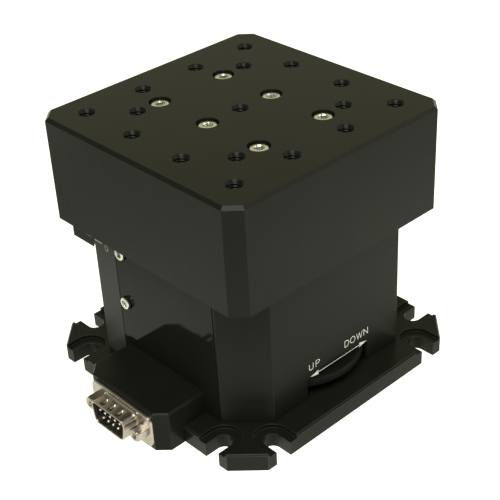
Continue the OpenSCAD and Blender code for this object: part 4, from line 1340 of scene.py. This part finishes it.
@dataclass(frozen=True)
class Lamp:
    """A flat soft light, out of the camera's sight."""

    name: str
    place: Xyz
    aim: Xyz
    size: Pair
    glow: float
    colour: Rgb

    def hang(self) -> None:
        """Adds the light; its power is its glow times pi times its area."""
        data = bpy.data.lights.new(self.name, "AREA")
        data.shape = "RECTANGLE"
        data.size, data.size_y = self.size
        data.energy = self.glow * math.pi * self.size[0] * self.size[1]
        data.color = self.colour
        lamp = show(self.name, data)
        lamp.visible_camera = False
        place = Vector(self.place)
        turn = (place - Vector(self.aim)).to_track_quat("Z", "Y")
        lamp.matrix_world = Matrix.Translation(place) @ turn.to_matrix().to_4x4()


@dataclass(frozen=True)
class Pool:
    """A painted pool of light in the table's glow, fading from its middle to its rim."""

    left: float
    near: float
    radius: float
    steep: bool

    def share(self, paint: Paint, left: Value, near: Value) -> Value:
        """How strongly the patch shows at a point.

        Args:
            paint: The table's nodes.
            left: How far the point lies to the left of the stage.
            near: How far it lies towards the camera.

        Returns:
            One in the middle to nought at the rim, squared where the patch is steep.
        """
        away = (left - self.left).length(near - self.near)
        share = paint.spread(away, self.radius, 0.0)
        return share * share if self.steep else share


@dataclass
class Studio:
    """White table, soft lamps, a pale surround and the photograph's camera."""

    lens: float = 85.15
    sensor: float = 36.0
    nearest: float = 0.01
    place: Xyz = (0.2750, -0.2450, 0.2778)
    right: Xyz = (0.68757, 0.72468, -0.04585)
    up: Xyz = (-0.36376, 0.39839, 0.84205)
    back: Xyz = (0.62846, -0.56228, 0.53746)
    table: float = 6.0
    table_z: float = -0.05
    table_rows: int = 5
    table_tone: Pair = (0.1, 0.12)
    table_spot: float = 3.0
    table_rough: float = 0.9
    table_glow: Rgb = (1.25, 1.26, 1.06)
    table_left: Pair = (-0.667, -0.745)
    table_near: Pair = (0.745, -0.667)
    rear_dim: float = 0.42
    rear_near: Pair = (-50.0, 70.0)
    rear_limit: Pair = (-85.0, -55.0)
    left_limit: Pair = (95.0, 140.0)
    right_bright: float = 1.3
    right_rise: Pair = (40.0, 120.0)
    right_end: float = 0.92
    right_fall: Pair = (165.0, 230.0)
    pool_bright: float = 1.8
    pools: Tuple[Pool, ...] = (Pool(10.0, 155.0, 95.0, True), Pool(4.0, 84.0, 40.0, False))
    horizon: Rgb = (1.05, 1.05, 1.03)
    ceiling: Rgb = (0.33, 0.325, 0.25)
    horizon_z: Pair = (0.1, 0.25)
    lamps: Tuple[Lamp, ...] = (
        Lamp("key", (0.31, -0.37, 0.86), (0.0, 0.0, 0.1), (0.5, 0.5), 10.5, (1.0, 1.0, 0.97)),
        Lamp("warm_wall", (-0.2, 0.28, 0.43), (0.0, 0.0, 0.43), (0.7, 0.46), 0.42,
             (1.0, 0.98, 0.48)),
        Lamp("warm_side", (0.27, 0.28, 0.42), (0.0, 0.0, 0.1), (0.3, 0.3), 2.1, (1.0, 0.97, 0.8)))

    def camera(self) -> None:
        """Sets the camera from its three axes and its place."""
        data = bpy.data.cameras.new("camera")
        data.lens = self.lens
        data.sensor_width = self.sensor
        data.clip_start = self.nearest
        camera = show("camera", data)
        turn = Matrix((self.right, self.up, self.back)).transposed().to_4x4()
        camera.matrix_world = Matrix.Translation(self.place) @ turn
        bpy.context.scene.camera = camera

    def shade(self, by: float) -> Rgb:
        """The table's glow times a number."""
        return tuple(by * c for c in self.table_glow)

    def glow(self, paint: Paint) -> bpy.types.NodeSocket:
        """The table's uneven glow, dim behind the stage and bright in front of it and to its right.

        Args:
            paint: The table's nodes.

        Returns:
            The glow's colour.
        """
        x, y, _ = paint.axes()
        left, near = (x * a + y * b for a, b in (self.table_left, self.table_near))
        plain = self.shade(1.0)
        tone = paint.blend(paint.spread(near, *self.rear_near), self.shade(self.rear_dim), plain)
        side = paint.spread(left, *self.left_limit) * paint.spread(near, *self.rear_limit)
        tone = paint.blend(side, plain, tone)
        for limits, by in ((self.right_rise, self.right_bright), (self.right_fall, self.right_end)):
            tone = paint.blend(paint.spread(left * -1.0, *limits), tone, self.shade(by))
        for pool in self.pools:
            tone = paint.blend(pool.share(paint, left, near), tone, self.shade(self.pool_bright))
        return tone

    def floor(self) -> None:
        """A flat table; out of the picture, where only black faces see it, its glow is uneven."""
        half = self.table / 2 / MM
        edge = np.linspace(-half, half, self.table_rows)
        x, y = np.meshgrid(edge, edge)
        mesh = bpy.data.meshes.new("table")
        blank = Blank()
        blank.grid(np.stack([x, y, np.full_like(x, self.table_z)], -1), wrap_cols=False)
        mesh.from_pydata((np.concatenate(blank.points) * MM).tolist(), [], blank.faces)
        paint = Paint(bpy.data.materials.new("white_table"))
        dark, pale = ((tone,) * 3 for tone in self.table_tone)
        paint.surface({
            "Base Color": paint.blend(paint.noise(self.table_spot, detail=3.0), dark, pale),
            "Roughness": self.table_rough,
            "Specular IOR Level": 0.0,
            "Emission Color": self.glow(paint),
            "Emission Strength": 1.0,
        })
        mesh.materials.append(paint.owner)
        table = show("table", mesh)

    def surround(self) -> None:
        """A white band round the horizon under a dim grey ceiling."""
        world = bpy.data.worlds.new("studio")
        bpy.context.scene.world = world
        paint = Paint(world)
        way = paint.node("ShaderNodeTexCoord").outputs["Generated"]
        height = paint.node("ShaderNodeSeparateXYZ", {0: way}).outputs["Z"]
        ramp = paint.node("ShaderNodeValToRGB", {0: height})
        stops = zip(ramp.color_ramp.elements, self.horizon_z, (self.horizon, self.ceiling))
        for stop, at, colour in stops:
            stop.position = at
            stop.color = (*colour, 1.0)
        light = paint.node("ShaderNodeBackground", {"Color": ramp.outputs[0]})
        paint.node("ShaderNodeOutputWorld", {0: light.outputs[0]})

    def build(self) -> None:
        """Sets camera, table and light."""
        self.camera()
        self.floor()
        self.surround()
        for lamp in self.lamps:
            lamp.hang()
        bpy.context.scene.view_settings.view_transform = "Standard"


def main() -> None:
    """Builds the studio and each sub-assembly in order."""
    logging.basicConfig(level=logging.INFO, format="%(message)s")
    for part in (Studio(), Platform(), Housing(), BasePlate(), Connector(), Spindle(), Inside()):
        part.build()
        LOG.info("%s done", type(part).__name__)


if __name__ == "__main__":
    main()
